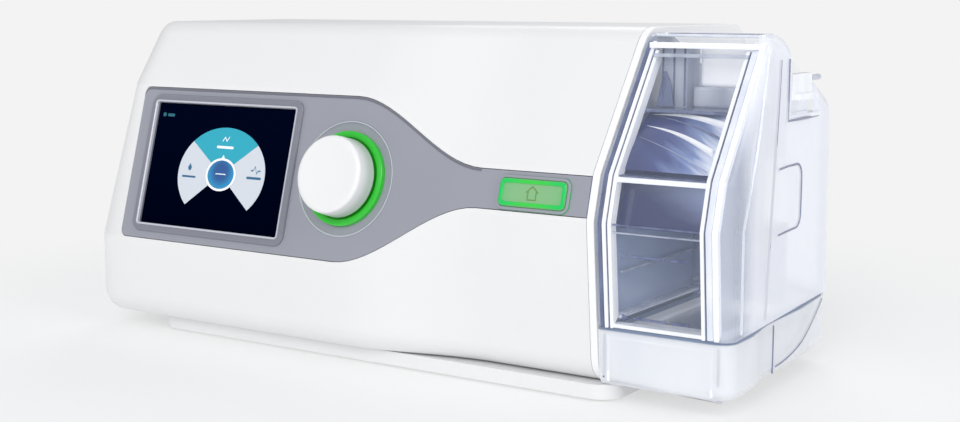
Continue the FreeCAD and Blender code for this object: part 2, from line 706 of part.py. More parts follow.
door_leaf = plate(door_w - 0.8, door_h - 0.8, 1.5, 0.5)
place(door_leaf, door_x + 0.4, back - 0.1, door_z + 0.4, Vector(1, 0, 0), 90.0)
pegs = rod(door_x - 2.4, back - 0.9, door_z + 2.2, peg_rad, door_w + 4.8, "X")
lattice = []
for i in range(7):
    lattice.append(box(door_x + 10, back - 3, door_z + 10 + i * 5.0, door_w - 20, 6.0, 2.0))
keep(cut(fuse([door_leaf, pegs]), lattice), "filter_door")

card_leaf = box(0.1, card_y + 0.4, card_z + 0.4, 1.5, card_w - 0.8, card_h - 0.8)
card_peg = rod(0.9, card_y + 2.2, card_z - 2.4, peg_rad, card_h + 4.8)
nick = box(-1.0, card_y + card_w - 6.0, card_z + 6.0, 1.7, 3.0, card_h - 12.0)
keep(cut(fuse([card_leaf, card_peg]), [nick]), "card_door")

duct_x = mute_x + mute_w + 0.1
duct_out = box(duct_x, d.blower_y - 12, duct_z - 2, d.blower_x + 14 - duct_x, 24.0, 18.0)
duct_in = box(duct_x - 2, d.blower_y - 10, duct_z, d.blower_x + 14 - duct_x, 20.0, 14.0)
duct_eye = rod(d.blower_x, d.blower_y, duct_z - 6, 9.0, 8.0)
keep(cut(duct_out, [duct_in, duct_eye]), "inlet_duct")

# ---------------------------------------------------------------- blower
low_z = 20.0
high_z = 46.0
body_r = d.blower_rad
inner_r = body_r - 2.5
stub_end = d.blower_x + body_r + 5.0
drum = rod(d.blower_x, d.blower_y, low_z, body_r, high_z - low_z)
stub = box(d.blower_x, d.blower_y - 12, low_z + 3, stub_end - d.blower_x, 20.0, 20.0)
bowl = rod(d.blower_x, d.blower_y, low_z + 2.5, inner_r, 40.0)
stub_core = box(d.blower_x, d.blower_y - 10.2, low_z + 4.8, 60.0, 16.4, 16.4)
spindle_hole = rod(d.blower_x, d.blower_y, low_z - 2, 4.0, 10.0)
keep(cut(fuse([drum, stub]), [bowl, stub_core, spindle_hole]), "blower_lower")
lid = turned([(9.0, 0), (body_r, 0), (body_r, 2.6), (12.0, 6.0), (11.0, 13.8), (9.0, 13.8)])
keep(place(lid, d.blower_x, d.blower_y, high_z + seat), "blower_upper")
motor = turned([
    (d.spindle_rad + seat, 0.6), (14.0, 0.6), (16.0, 2.0), (16.0, 9.4), (14.5, 10.6),
    (d.spindle_rad + seat, 10.6),
])
keep(place(motor, d.blower_x, d.blower_y, 9.3), "blower_motor")
spindle = turned([(0, 0), (d.spindle_rad, 0), (d.spindle_rad, 28.0), (0, 28.0)])
keep(place(spindle, d.blower_x, d.blower_y, 11.0), "impeller_spindle")

wheel = doc.addObject("PartDesign::Body", "Wheel")
hub_sketch = sketch_in(wheel, "HubOutline", "XZ_Plane")
polygon(hub_sketch, [
    (d.spindle_rad + seat * 0.6, 0), (d.wheel_rad, 0), (d.wheel_rad, 1.4), (8.0, 3.0),
    (4.5, 12.0), (d.spindle_rad + seat * 0.6, 12.0),
])
hub = wheel.newObject("PartDesign::Revolution", "Hub")
hub.Profile = hub_sketch
hub.ReferenceAxis = (hub_sketch, ["V_Axis"])
hub.Angle = 360
blade_sketch = sketch_in(wheel, "BladeOutline", "XY_Plane")
polygon(blade_sketch, [
    (7.0, -0.6), (14.0, 1.6), (d.wheel_rad - 0.8, 9.4), (d.wheel_rad - 1.8, 10.6),
    (13.4, 3.0), (7.0, 0.8),
])
blade = wheel.newObject("PartDesign::Pad", "Blade")
blade.Profile = blade_sketch
blade.Length = 14.0
blades = wheel.newObject("PartDesign::PolarPattern", "Blades")
blades.Originals = [blade]
blades.Axis = (blade_sketch, ["N_Axis"])
blades.Angle = 360
blades.Occurrences = 11
wheel.Tip = blades
keep(place(wheel, d.blower_x, d.blower_y, 25.4), "impeller")
for i, angle in enumerate((45, 135, 225, 315), 1):
    mx = d.blower_x + 26.0 * math.cos(math.radians(angle))
    my = d.blower_y + 26.0 * math.sin(math.radians(angle))
    mount = turned([(0, 0), (4.5, 0), (4.5, 3.0), (3.2, 5.2), (4.5, 7.6), (4.5, 10.85), (0, 10.85)])
    keep(place(mount, mx, my, 9.1), "blower_mount_%d" % i)

# ---------------------------------------------------------------- air path out
run_x = stub_end + 0.1
run_w = 20.0
wall_x = shell_end - 0.1
up_low = low_z + 3
up_high = d.port_z + 11.0
riser = box(run_x, d.supply_y - 10, up_low, run_w, 20.0, up_high - up_low)
bridge = box(run_x, d.supply_y - 10, d.port_z - 11, wall_x - run_x, 20.0, 22.0)
riser_core = box(run_x + 1.6, d.supply_y - 8.4, up_low + 1.6, run_w - 3.2, 16.8,
                 up_high - up_low - 3.2)
bridge_core = box(run_x + 1.6, d.supply_y - 8.4, d.port_z - 9.4, wall_x - run_x, 16.8, 18.8)
inlet_core = box(run_x - 2, d.supply_y - 8.2, up_low + 1.8, 8.0, 16.4, 16.4)
keep(cut(fuse([riser, bridge]), [riser_core, bridge_core, inlet_core]), "supply_duct")
ret_x = d.outlet_x - 12.0
leg = box(ret_x, return_y - 11, d.port_z - 11, 24.0, back - 7.05 - (return_y - 11), 22.0)
arm = box(ret_x, return_y - 11, d.port_z - 11, wall_x - ret_x, 22.0, 22.0)
leg_core = box(ret_x + 1.6, return_y - 9.4, d.port_z - 9.4, 20.8, 60.0, 18.8)
arm_core = box(ret_x + 1.6, return_y - 9.4, d.port_z - 9.4, 60.0, 18.8, 18.8)
keep(cut(fuse([leg, arm]), [leg_core, arm_core]), "outlet_duct")
cone = d.outlet_rad
pipe = turned([
    (cone - 2.2, -7.0), (cone, -7.0), (cone, -2.7), (cone + 0.35, -2.7), (cone + 0.35, 0.05),
    (cone + 3.5, 0.05), (cone + 3.5, 2.2), (cone, 2.2), (cone, d.outlet_len - 1.2),
    (cone - 0.6, d.outlet_len),
    (cone - 2.2, d.outlet_len),
])
pipe = place(pipe, d.outlet_x, back, d.port_z, Vector(1, 0, 0), -90.0)
keep(pipe, "outlet_connector")

# ---------------------------------------------------------------- heater dock
shelf = plate(d.shelf_len, 80.0, d.shelf_top - d.plinth_h, 6.0)
place(shelf, d.case_len + seat, 12.0, d.plinth_h)
pocket = box(d.case_len + 5.0, 17.0, d.shelf_top - 2.0, 32.0, 70.0, 4.0)
keep(cut(shelf, [pocket]), "heater_shelf")
keep(box(d.case_len + 5.2, 17.2, d.shelf_top - 1.95, 31.6, 69.6, 1.9), "heater_element")
hot = plate(36.0, 75.0, d.plate_t - seat, 4.0)
keep(place(hot, d.case_len + 3.0, 14.5, d.shelf_top + seat), "heater_plate")

# ---------------------------------------------------------------- water tank
TANK_ROUND = [3.0, 6.0, 10.0, 12.0, 8.0, 5.0, 6.0]
TANK_END = [6.0, 3.0, 3.0, 4.0, 6.0, 6.0, 6.0]
TANK_UP = [0.0, 0.0, 3.0, 3.0, 3.0, 0.0, 0.0]


def tank_brow():
    """Front edge of the tank roof, in line with the casing's upper front."""
    fold_y, fold_z = panel_spot(d.tail_top.value + d.fold_margin.value)
    rise = (d.case_h.value - fold_z) / (d.roof_right.value - fold_y)
    return d.roof_right.value - (d.case_h.value - d.tank_h.value) / rise


def tank_wire(x, inset):
    """Section of the tank: toe, heel, rear shoulder, roof rear and front, folds."""
    top = d.tail_top.value + d.fold_margin.value
    bottom = d.tail_bottom.value - d.fold_margin.value
    roof = d.tank_h.value
    rear = d.tank_back.value
    brow = tank_brow()
    corners = [
        (d.toe_right.value, d.plinth_h.value),
        (rear, d.plinth_h.value),
        (rear - 3.0, roof - 26.0),
        (brow + 13.0, roof),
        (brow, roof),
        panel_spot(top),
        panel_spot(bottom),
    ]
    closed = []
    left = max(tank_end.value - x - inset, 0.0)
    for i, (y, z) in enumerate(corners):
        along = quarter(left, TANK_END[i] - inset)
        upward = quarter(left, TANK_UP[i] - inset) if TANK_UP[i] > inset else 0.0
        y += -along if i in (1, 2, 3) else along
        z -= upward
        closed.append((y, z))
    radii = [radius - inset * 0.8 for radius in TANK_ROUND]
    return rounded_wire(inset_corners(closed, inset), radii, lambda p: Vector(x, p.x, p.y))


def tank_solid(inset, low, high):
    """Tank form between two heights, drawn in by inset all round."""
    x0 = tank_x.value + inset
    x1 = tank_end.value
    close = x1 - 6.0
    long_run = lofted([x0, close], lambda x: tank_wire(x, inset))
    shares = [0.0, 0.3, 0.55, 0.75, 0.9, 0.97, 1.0]
    stations = [mix(close, x1 - inset, share) for share in shares]
    end_run = lofted(stations, lambda x: tank_wire(x, inset))
    solid = long_run.fuse(end_run).removeSplitter()
    plan = [
        (tank_x.value, -30.0), (x1, -30.0), (x1, 19.0), (x1 - 3.3, 37.0),
        (x1 - 3.7, 70.0), (x1 - 7.5, d.tank_back.value), (tank_x.value, d.tank_back.value),
    ]
    rounds = [1.5, 1.0, 6.0, 12.0, 30.0, 14.0, 1.5]
    rounds = [max(r - inset * 0.8, 0.4) for r in rounds]
    outline = rounded_wire(inset_corners(plan, inset), rounds, lambda p: Vector(p.x, p.y, low))
    prism = Part.Face(outline).extrude(Vector(0, 0, high - low))
    return solid.common(prism)


split = d.tank_split
body_z = split + d.seal_t
lower = tank_solid(0.0, d.plinth_h.value, split.value - 0.05)
room = tank_solid(2.5, 0.0, split.value - 1.65)
skirt_form = shaped(lower.cut(room))
skirt_cuts = [
    box(tank_x - 3.0, 8.0, 0, 8.0, 88.0, split - 1.65),
    box(tank_x + 7.0, 22.0, split - 5.0, 28.0, 62.0, 10.0),
    box(tank_x - 3.0, 8.0, 0, d.shelf_len + 3.3, 88.0, split - 1.65),
]
knuckles = []
for lug_x in (8.0, 30.0):
    knuckles.append(rod(tank_x + lug_x, hinge_y, d.hinge_z, 2.9, 6.0, "X"))
    knuckles.append(box(tank_x + lug_x, d.tank_back - 1.5, d.hinge_z - 2.9, 6.0,
                        hinge_y - d.tank_back + 1.5, 2.9))
skirt_cuts.append(rod(tank_x + 6.0, hinge_y, d.hinge_z, d.pin_rad + seat, 32.0, "X"))
keep(cut(fuse([skirt_form] + knuckles), skirt_cuts), "tank_skirt")
base_plate = plate(36.0, 78.0, 1.5, 3.0)
keep(place(base_plate, tank_x + 3.6, 11.5, split - 3.2), "tank_base_plate")
ring_out = tank_solid(0.5, split.value, body_z.value - 0.05)
ring_in = tank_solid(3.6, split.value - 2.0, body_z.value + 2.0)
keep(shaped(ring_out.cut(ring_in)), "tank_seal")
keep(rod(tank_x + 8.0, hinge_y, d.hinge_z, d.pin_rad, 28.0, "X"), "tank_hinge_pin")

# clear upper body with the finger recess at the top rear of its end face
recess_y, recess_z, recess_w = 53.0, 95.5, 31.0
recess_x = tank_end - 9.4
outer = tank_solid(0.0, body_z.value, 140.0)
inner = tank_solid(d.tank_wall.value, 0.0, 140.0)
pocket_wall = box(recess_x - 2.0, recess_y - 2.0, recess_z - 2.0, 20.0, recess_w + 4.0, 40.0)
cavity = cut(shaped(inner), [pocket_wall])
body_cuts = [
    cavity,
    box(recess_x, recess_y, recess_z, 20.0, recess_w, 40.0),
    rod(tank_x - 2, d.supply_y, d.port_z, d.port_rad, 6.0, "X"),
    rod(tank_x - 2, return_y, d.port_z, d.port_rad, 6.0, "X"),
]
hollow_body = cut(shaped(outer), body_cuts)
knuckle = rod(tank_x + 14.4, hinge_y, d.hinge_z, 2.9, 15.2, "X")
strap = box(tank_x + 14.4, d.tank_back - 1.6, body_z + 0.05, 15.2,
            hinge_y - d.tank_back + 3.2, 2.0)
pin_bore = rod(tank_x + 6.0, hinge_y, d.hinge_z, d.pin_rad + seat, 32.0, "X")
lever_x = recess_x + 3.2
lever_z = recess_z + 12.0
pivot_rad = 1.1
pivot_y = recess_y - 1.0
pivot_hole = rod(lever_x, pivot_y, lever_z, pivot_rad, recess_w + 2.0, "Y")
keep(cut(fuse([hollow_body, knuckle, strap]), [pin_bore, pivot_hole]), "tank_body")
keep(rod(lever_x, pivot_y + seat, lever_z, pivot_rad - 0.02, recess_w + 1.9, "Y"), "latch_pin")
lever = box(lever_x - 1.5, recess_y + 4.0, recess_z + 5.0, 3.0, 18.0, 9.0)
lip_tab = box(lever_x - 1.5, recess_y + 7.0, recess_z + 5.0, 5.0, 12.0, 2.2)
lever_bore = rod(lever_x, recess_y, lever_z, pivot_rad + seat, recess_w, "Y")
keep(cut(fuse([lever, lip_tab]), [lever_bore]), "tank_latch_lever")

# air inlet elbow and cover block inside the tank
elbow_x = tank_x + d.tank_wall + 0.1
reach = 20.0
tube_r = d.port_rad + 1.3
elbow = fuse([
    rod(elbow_x, d.supply_y, d.port_z, tube_r, reach, "X"),
    rod(elbow_x + reach, d.supply_y, d.port_z - 34.0, tube_r, 34.0 + tube_r),
])
elbow_core = [
    rod(elbow_x - 1, d.supply_y, d.port_z, d.port_rad, reach + 1, "X"),
    rod(elbow_x + reach, d.supply_y, d.port_z - 36.0, d.port_rad, 36.0 + d.port_rad),
]
keep(cut(elbow, elbow_core), "tank_inlet_elbow")
duct_form = box(elbow_x, return_y - 10.5, d.port_z - 11.0, 24.0, 19.0, 20.0)
duct_cuts = [
    rod(elbow_x - 1, return_y, d.port_z, d.port_rad, 18.0, "X"),
    box(elbow_x + 8.0, return_y - 9.0, d.port_z - 20.0, 14.4, 16.0, 20.0),
]
keep(cut(duct_form, duct_cuts), "tank_outlet_box")
keep(box(tank_x + 18.0, tank_brow() + 4.3, d.tank_h - 18.0, 20.0, 9.5, 14.4), "tank_top_block")

# ---------------------------------------------------------------- check and write
doc.recompute()
for obj in doc.Objects:
    if {"Invalid", "Error"} & set(obj.State):
        raise RuntimeError("%s (%s) did not build: %s" % (obj.Name, obj.Label, obj.State))
os.makedirs("parts", exist_ok=True)
for obj in nodes:
    shape = obj.Shape
    if shape.isNull() or not shape.isValid() or len(shape.Solids) != 1:
        raise RuntimeError("%s: %d solids, valid %s" % (obj.Label, len(shape.Solids), shape.isValid()))
    shape.exportStep("parts/%s.step" % obj.Label)
print("wrote", len(nodes), "sub-parts")
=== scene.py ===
"""Bedside breathing ventilator with a clear heated water tank at its right end."""
import math

import bmesh
import bpy
from mathutils import Matrix, Vector


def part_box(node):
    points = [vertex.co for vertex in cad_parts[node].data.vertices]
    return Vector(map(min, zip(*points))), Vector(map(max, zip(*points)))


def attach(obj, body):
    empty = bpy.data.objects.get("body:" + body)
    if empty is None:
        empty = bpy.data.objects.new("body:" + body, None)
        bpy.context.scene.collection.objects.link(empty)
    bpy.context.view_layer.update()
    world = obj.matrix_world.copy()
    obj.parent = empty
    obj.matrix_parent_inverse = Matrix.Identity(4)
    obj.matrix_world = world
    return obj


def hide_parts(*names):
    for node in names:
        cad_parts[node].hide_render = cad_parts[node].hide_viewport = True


bl_info = {
    "name": "Bedside Ventilator",
    "version": (1, 0, 0),
    "blender": (4, 5, 0),
    "location": "View3D > Sidebar > Ventilator",
    "description": "Models the outside and the working pieces of a bedside ventilator",
    "category": "Object",
}

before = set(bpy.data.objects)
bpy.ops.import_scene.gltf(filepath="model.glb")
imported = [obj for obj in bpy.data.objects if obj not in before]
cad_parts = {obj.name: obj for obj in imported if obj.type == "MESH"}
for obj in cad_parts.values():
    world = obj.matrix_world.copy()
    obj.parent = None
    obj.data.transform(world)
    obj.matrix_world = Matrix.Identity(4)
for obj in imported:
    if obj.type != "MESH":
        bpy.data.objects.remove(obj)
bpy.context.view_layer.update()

MM = 0.001
# The working axes run from the casing's left end and from the nose of its front.
LEFT_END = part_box("upper_shell")[0][0]
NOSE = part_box("bottom_tray")[0][1] - 1.4 * MM
LEAN = math.radians(15.77)
SIN = math.sin(LEAN)
COS = math.cos(LEAN)
# Places on the panel plane, as (x, height up the panel), in working millimetres.
KNOB = (130.0, -4.2)
KEY = (211.8, -4.0)
HUB = (67.9, -6.8)
KEY_HALF = (13.2, 4.8)
SCREEN = (28.7, -28.8, 102.1, 20.6)
# The front sweeps from its tall part to its short part over this stretch of x.
SWEEP_START = 130.5
SWEEP_RUN = 59.0
SWEEP_STEPS = 16
# Air ports between casing and tank, and the tank's lower edge above the seal.
PORTS = (60.0, 86.0)
PORT_HEIGHT = 88.0
PORT_RADIUS = 8.5
DOCK_GAP = 0.5
SEAM = 26.6


# ------------------------------------------------------------------ sizes and colours
def size_prop(name, words, default):
    return bpy.props.FloatProperty(
        name=name, description=words, default=default, unit="LENGTH", subtype="DISTANCE"
    )


def colour_prop(name, words, default):
    return bpy.props.FloatVectorProperty(
        name=name, description=words, default=default, size=3, subtype="COLOR", min=0, max=1
    )


class CasingSizes(bpy.types.PropertyGroup):
    length: size_prop("Length", "Casing up to the tank", 236.3 * MM)
    height: size_prop("Height", "Roof above the table", 125.5 * MM)
    back: size_prop("Depth", "Nose to the rear face", 118.0 * MM)
    wall: size_prop("Wall", "Casing wall", 2.4 * MM)
    band: size_prop("End band", "White band at the tank end", 2.8 * MM)
    white: colour_prop("Casing white", "Moulded casing", (0.825, 0.827, 0.832))


class PanelSizes(bpy.types.PropertyGroup):
    grey: colour_prop("Panel grey", "Control panel", (0.315, 0.325, 0.375))
    frame_grey: colour_prop("Frame grey", "Raised screen frame", (0.215, 0.22, 0.265))
    green: colour_prop("Signal green", "Lit ring and key", (0.02, 0.46, 0.025))
    cyan: colour_prop("Screen cyan", "Upper menu field", (0.01, 0.33, 0.44))
    knob_radius: size_prop("Knob radius", "Face of the knob", 14.5 * MM)
    knob_height: size_prop("Knob height", "Knob above the panel", 10.4 * MM)


class TankSizes(bpy.types.PropertyGroup):
    length: size_prop("Length", "Tank along the casing", 47.8 * MM)
    roof: size_prop("Roof", "Tank roof above the table", 123.6 * MM)
    back: size_prop("Depth", "Nose to the tank's rear face", 106.5 * MM)
    wall: size_prop("Wall", "Clear wall", 2.0 * MM)
    tint: colour_prop("Tint", "Clear tank wall", (0.62, 0.68, 0.82))
    frost: colour_prop("Frost", "Frosted end face", (0.86, 0.88, 0.94))


def sizes():
    return bpy.context.scene.vent_casing, bpy.context.scene.vent_panel, bpy.context.scene.vent_tank


# ------------------------------------------------------------------ places
def spot(x, y, z):
    """Working millimetres to a place in the frame."""
    return Vector((LEFT_END + x * MM, NOSE + y * MM, z * MM))


def slope(s, out=0.0):
    """Height s up the panel plane and distance out of it, as y and z."""
    return -0.17 + s * SIN - out * COS, 73.4 + s * COS + out * SIN


def on_panel(x, s, out=0.0):
    y, z = slope(s, out)
    return spot(x, y, z)


def on_knob(a, b, out=0.0):
    """A place round the knob's axis."""
    return on_panel(KNOB[0] + a, KNOB[1] + b, out)


def tank_start():
    """Where the docked tank begins, along x."""
    return sizes()[0].length / MM + DOCK_GAP


def tank_tip():
    """The furthest point of the tank, along x."""
    return tank_start() + sizes()[2].length / MM


def smooth(t):
    t = min(1.0, max(0.0, t))
    return t * t * (3.0 - 2.0 * t)


def mix(a, b, t):
    return a + (b - a) * t


def quarter(x, radius):
    """How far a quarter-round has drawn in, x from the end it closes."""
    if x >= radius:
        return 0.0
    return radius - math.sqrt(max(0.0, radius ** 2 - (radius - x) ** 2))


def inset_corners(corners, distance):
    result = []
    count = len(corners)
    for i, (y, z) in enumerate(corners):
        before = corners[i - 1]
        after = corners[(i + 1) % count]
        normals = []
        for start, end in ((before, (y, z)), ((y, z), after)):
            run = math.hypot(end[0] - start[0], end[1] - start[1])
            normals.append(((start[1] - end[1]) / run, (end[0] - start[0]) / run))
        (ay, az), (by, bz) = normals
        scale = distance / (1.0 + ay * by + az * bz)
        result.append((y + (ay + by) * scale, z + (az + bz) * scale))
    return result


def rounded(corners, radii, steps=7):
    """Points round a closed polygon whose corners are arcs."""
    points = []
    count = len(corners)
    if not hasattr(radii, "__len__"):
        radii = [radii] * count
    for i in range(count):
        here = Vector(corners[i])
        back = (Vector(corners[i - 1]) - here).normalized()
        ahead = (Vector(corners[(i + 1) % count]) - here).normalized()
        half = back.angle(ahead) / 2.0
        radius = max(radii[i], 0.05)
        centre = here + (back + ahead).normalized() * (radius / math.sin(half))
        start = here + back * (radius / math.tan(half)) - centre
        end = here + ahead * (radius / math.tan(half)) - centre
        turn = math.atan2(start.x * end.y - start.y * end.x, start.dot(end))
        for k in range(steps):
            a = turn * k / (steps - 1)
            c, s = math.cos(a), math.sin(a)
            points.append((centre.x + start.x * c - start.y * s,
                           centre.y + start.x * s + start.y * c))
    return points


def rectangle(x0, s0, x1, s1, radius, steps=6):
    return rounded([(x0, s0), (x1, s0), (x1, s1), (x0, s1)], radius, steps)


def key_outline(grow, radius, steps=6):
    """The home key's outline, grown all round."""
    (x, s), (half_x, half_s) = KEY, KEY_HALF
    return rectangle(x - half_x - grow, s - half_s - grow, x + half_x + grow, s + half_s + grow,
                     radius, steps)


def screen_outline(grow, radius, steps=6):
    """The screen's outline, grown all round."""
    left, low, right, high = SCREEN
    return rectangle(left - grow, low - grow, right + grow, high + grow, radius, steps)


def circle(x, s, radius, steps=64):
    turn = math.tau / steps
    return [(x + radius * math.cos(i * turn), s + radius * math.sin(i * turn)) for i in range(steps)]


def sweep_at(x):
    return smooth((x - SWEEP_START) / SWEEP_RUN)


def sweep_stations():
    return [SWEEP_START + SWEEP_RUN * i / SWEEP_STEPS for i in range(SWEEP_STEPS + 1)]


def casing_section(x, inset=0.0):
    """Casing outline at x: toe, heel, rear roof, front roof, upper and lower fold."""
    casing = sizes()[0]
    t = sweep_at(x)
    back = casing.back / MM
    roof = casing.height / MM
    corners = [
        (mix(-8.2, 1.6, t), 6.0), (back, 6.0), (back, roof), (mix(26.5, 35.0, t), roof),
        slope(mix(28.0, 4.7, t)), slope(mix(-36.3, -11.5, t)),
    ]
    ends = [(13.0, 6.0), (14.0, 6.0), (14.0, 8.0), (20.0, 8.0), (23.0, 0.0), (16.0, 0.0)]
    closed = []
    for i, ((y, z), (along, up)) in enumerate(zip(corners, ends)):
        draw = quarter(x, along)
        y += -draw if i in (1, 2) else draw
        z += quarter(x, up) if i in (0, 1) else -quarter(x, up) if up else 0.0
        closed.append((y, z))
    radii = [r - inset * 0.8 for r in (10.0, 8.0, 12.0, 12.0, 5.0, 6.0)]
    return rounded(inset_corners(closed, inset) if inset else closed, radii, 8)


# ------------------------------------------------------------------ modelling
def clear_selection():
    if bpy.context.mode != "OBJECT":
        bpy.ops.object.mode_set(mode="OBJECT")
    bpy.ops.object.select_all(action="DESELECT")


def only(piece):
    clear_selection()
    piece.select_set(True)
    bpy.context.view_layer.objects.active = piece
    return piece


def loft(name, rings, closed=True, cap=(True, True)):
    """A skin through rings of points: a ring primitive extruded from ring to ring."""
    clear_selection()
    count = len(rings[0])
    bpy.ops.mesh.primitive_circle_add(vertices=count, radius=0.01, fill_type="NOTHING")
    piece = bpy.context.object
    piece.name = name
    bpy.ops.object.mode_set(mode="EDIT")
    mesh = bmesh.from_edit_mesh(piece.data)
    # Each point keeps its number through the extrudes in this layer.
    tag = mesh.verts.layers.int.new("place")
    mesh.verts.ensure_lookup_table()
    ring = [mesh.verts[0]]
    ahead = ring[0].link_edges[0].other_vert(ring[0])
    while ahead is not None:
        ring.append(ahead)
        onward = [e.other_vert(ahead) for e in ahead.link_edges]
        ahead = next((v for v in onward if v not in (ring[-2], ring[0])), None)
    for number, vert in enumerate(ring):
        vert[tag] = number
        vert.co = rings[0][number]
    if not closed:
        for edge in mesh.edges:
            edge.select = ring[0] in edge.verts and ring[-1] in edge.verts
        bmesh.update_edit_mesh(piece.data)
        bpy.ops.mesh.select_mode(type="EDGE")
        bpy.ops.mesh.delete(type="EDGE_FACE")
    bmesh.update_edit_mesh(piece.data)
    bpy.ops.mesh.select_mode(type="VERT")
    bpy.ops.mesh.select_all(action="SELECT")
    if closed and cap[0]:
        bpy.ops.mesh.edge_face_add()
    bpy.ops.mesh.select_mode(type="EDGE")
    for points in rings[1:]:
        bpy.ops.mesh.extrude_edges_move()
        mesh = bmesh.from_edit_mesh(piece.data)
        tag = mesh.verts.layers.int["place"]
        for vert in mesh.verts:
            if vert.select:
                vert.co = points[vert[tag]]
        bmesh.update_edit_mesh(piece.data)
    if closed and cap[1]:
        bpy.ops.mesh.edge_face_add()
    bpy.ops.mesh.select_all(action="SELECT")
    bpy.ops.mesh.normals_make_consistent(inside=False)
    bpy.ops.object.mode_set(mode="OBJECT")
    piece.data.attributes.remove(piece.data.attributes["place"])
    return piece


def slab(name, loops, depth, place, bevel=0.0, segments=2):
    """A flat plate with holes: loops filled, pushed back by depth and edge-rounded."""
    clear_selection()
    bpy.ops.mesh.primitive_circle_add(vertices=len(loops[0]), radius=0.01, fill_type="NOTHING")
    piece = bpy.context.object
    piece.name = name
    bpy.ops.object.mode_set(mode="EDIT")
    for number, loop in enumerate(loops):
        if number:
            bpy.ops.mesh.select_all(action="DESELECT")
            bpy.ops.mesh.primitive_circle_add(vertices=len(loop), radius=0.01, fill_type="NOTHING")
        mesh = bmesh.from_edit_mesh(piece.data)
        fresh = [v for v in mesh.verts if v.select]
        fresh.sort(key=lambda v: v.index)
        for vert, (x, s) in zip(fresh, loop):
            vert.co = Vector((x, s, 0.0)) * MM
        bmesh.update_edit_mesh(piece.data)
    bpy.ops.mesh.select_all(action="SELECT")
    bpy.ops.mesh.fill(use_beauty=True)
    bpy.ops.mesh.select_all(action="SELECT")
    bpy.ops.mesh.normals_make_consistent(inside=False)
    bpy.ops.mesh.extrude_region_move(TRANSFORM_OT_translate={"value": (0, 0, -depth * MM)})
    bpy.ops.mesh.select_all(action="SELECT")
    bpy.ops.mesh.normals_make_consistent(inside=False)
    mesh = bmesh.from_edit_mesh(piece.data)
    for vert in mesh.verts:
        vert.co = place(vert.co.x / MM, vert.co.y / MM, vert.co.z / MM)
    bmesh.update_edit_mesh(piece.data)
    bpy.ops.mesh.normals_make_consistent(inside=False)
    bpy.ops.object.mode_set(mode="OBJECT")
    if bevel:
        soften(piece, bevel, segments)
    return piece


def lathe(name, profile, place, steps=96):
    """A turned piece from (radius, height) pairs; a closed profile makes a ring."""
    rings = []
    for radius, height in profile:
        ring = []
        for i in range(steps):
            a = math.tau * i / steps
            ring.append(place(radius * math.cos(a), radius * math.sin(a), height))
        rings.append(ring)
    ends = (profile[0][0] > 0.01 and profile[0] != profile[-1])
    piece = loft(name, rings, True, (ends, ends))
    return weld(piece)


def block(name, low, high, bevel=0.6, segments=3):
    """A moulded block: a cube primitive set to its corners, then edge-rounded."""
    clear_selection()
    bpy.ops.mesh.primitive_cube_add(size=1.0)
    piece = bpy.context.object
    piece.name = name
    bpy.ops.object.mode_set(mode="EDIT")
    span = high - low
    middle = (high + low) / 2.0
    bpy.ops.transform.resize(value=span)
    bpy.ops.transform.translate(value=middle)
    bpy.ops.object.mode_set(mode="OBJECT")
    return soften(piece, bevel, segments)


def weld(piece):
    only(piece)
    bpy.ops.object.mode_set(mode="EDIT")
    bpy.ops.mesh.select_all(action="SELECT")
    bpy.ops.mesh.remove_doubles(threshold=1e-6)
    bpy.ops.mesh.normals_make_consistent(inside=False)
    bpy.ops.object.mode_set(mode="OBJECT")
    return piece


def modify(piece, kind, **settings):
    only(piece)
    modifier = piece.modifiers.new(kind.title(), kind)
    for key, value in settings.items():
        setattr(modifier, key, value)
    bpy.ops.object.modifier_apply(modifier=modifier.name)
    return piece


def soften(piece, width, segments=2, angle=35.0):
    return modify(piece, "BEVEL", width=width * MM, segments=segments, limit_method="ANGLE",
                  angle_limit=math.radians(angle), use_clamp_overlap=True)


def carve(piece, *cutters, operation="DIFFERENCE"):
    for cutter in cutters:
        modify(piece, "BOOLEAN", operation=operation, solver="EXACT", object=cutter)
        bpy.data.objects.remove(cutter)
    return piece


def done(piece, finish, body, *nodes, angle=30.0, slot=None):
    """Smooth the piece, give it its finish and fix it to its body."""
    only(piece)
    bpy.ops.object.shade_smooth_by_angle(angle=math.radians(angle))
    modify(piece, "WEIGHTED_NORMAL", keep_sharp=True)
    bpy.ops.object.transform_apply(location=True, rotation=True, scale=True)
    piece.data.materials.clear()
    piece.data.materials.append(finish)
    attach(piece, body)
    if nodes:
        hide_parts(*nodes)
    return piece


def carried(node, finish, body, angle=30.0, bevel=0.0):
    """A merged, smoothed copy of a CAD node with its own finish."""
    clear_selection()
    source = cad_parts[node]
    copy = source.copy()
    copy.data = source.data.copy()
    copy.name = node.replace("_", "-") + "-finish"
    copy.parent = None
    bpy.context.collection.objects.link(copy)
    copy.matrix_world = source.matrix_world
    only(copy)
    bpy.ops.object.mode_set(mode="EDIT")
    bpy.ops.mesh.select_all(action="SELECT")
    bpy.ops.mesh.remove_doubles(threshold=2e-6)
    bpy.ops.mesh.dissolve_limited(angle_limit=math.radians(0.5))
    bpy.ops.object.mode_set(mode="OBJECT")
    if bevel:
        soften(copy, bevel, 2, 40.0)
    return done(copy, finish, body, node, angle=angle)


# ------------------------------------------------------------------ finishes
class Value:
    """A shader socket that can be used in arithmetic."""

    def __init__(self, finish, socket):
        self.finish = finish
        self.socket = socket

    def maths(self, operation, first, second):
        return self.finish.add("ShaderNodeMath", {"operation": operation}, {0: first, 1: second})

    def __add__(self, other):
        return self.maths("ADD", self, other)

    def __mul__(self, other):
        return self.maths("MULTIPLY", self, other)

    __radd__ = __add__
    __rmul__ = __mul__


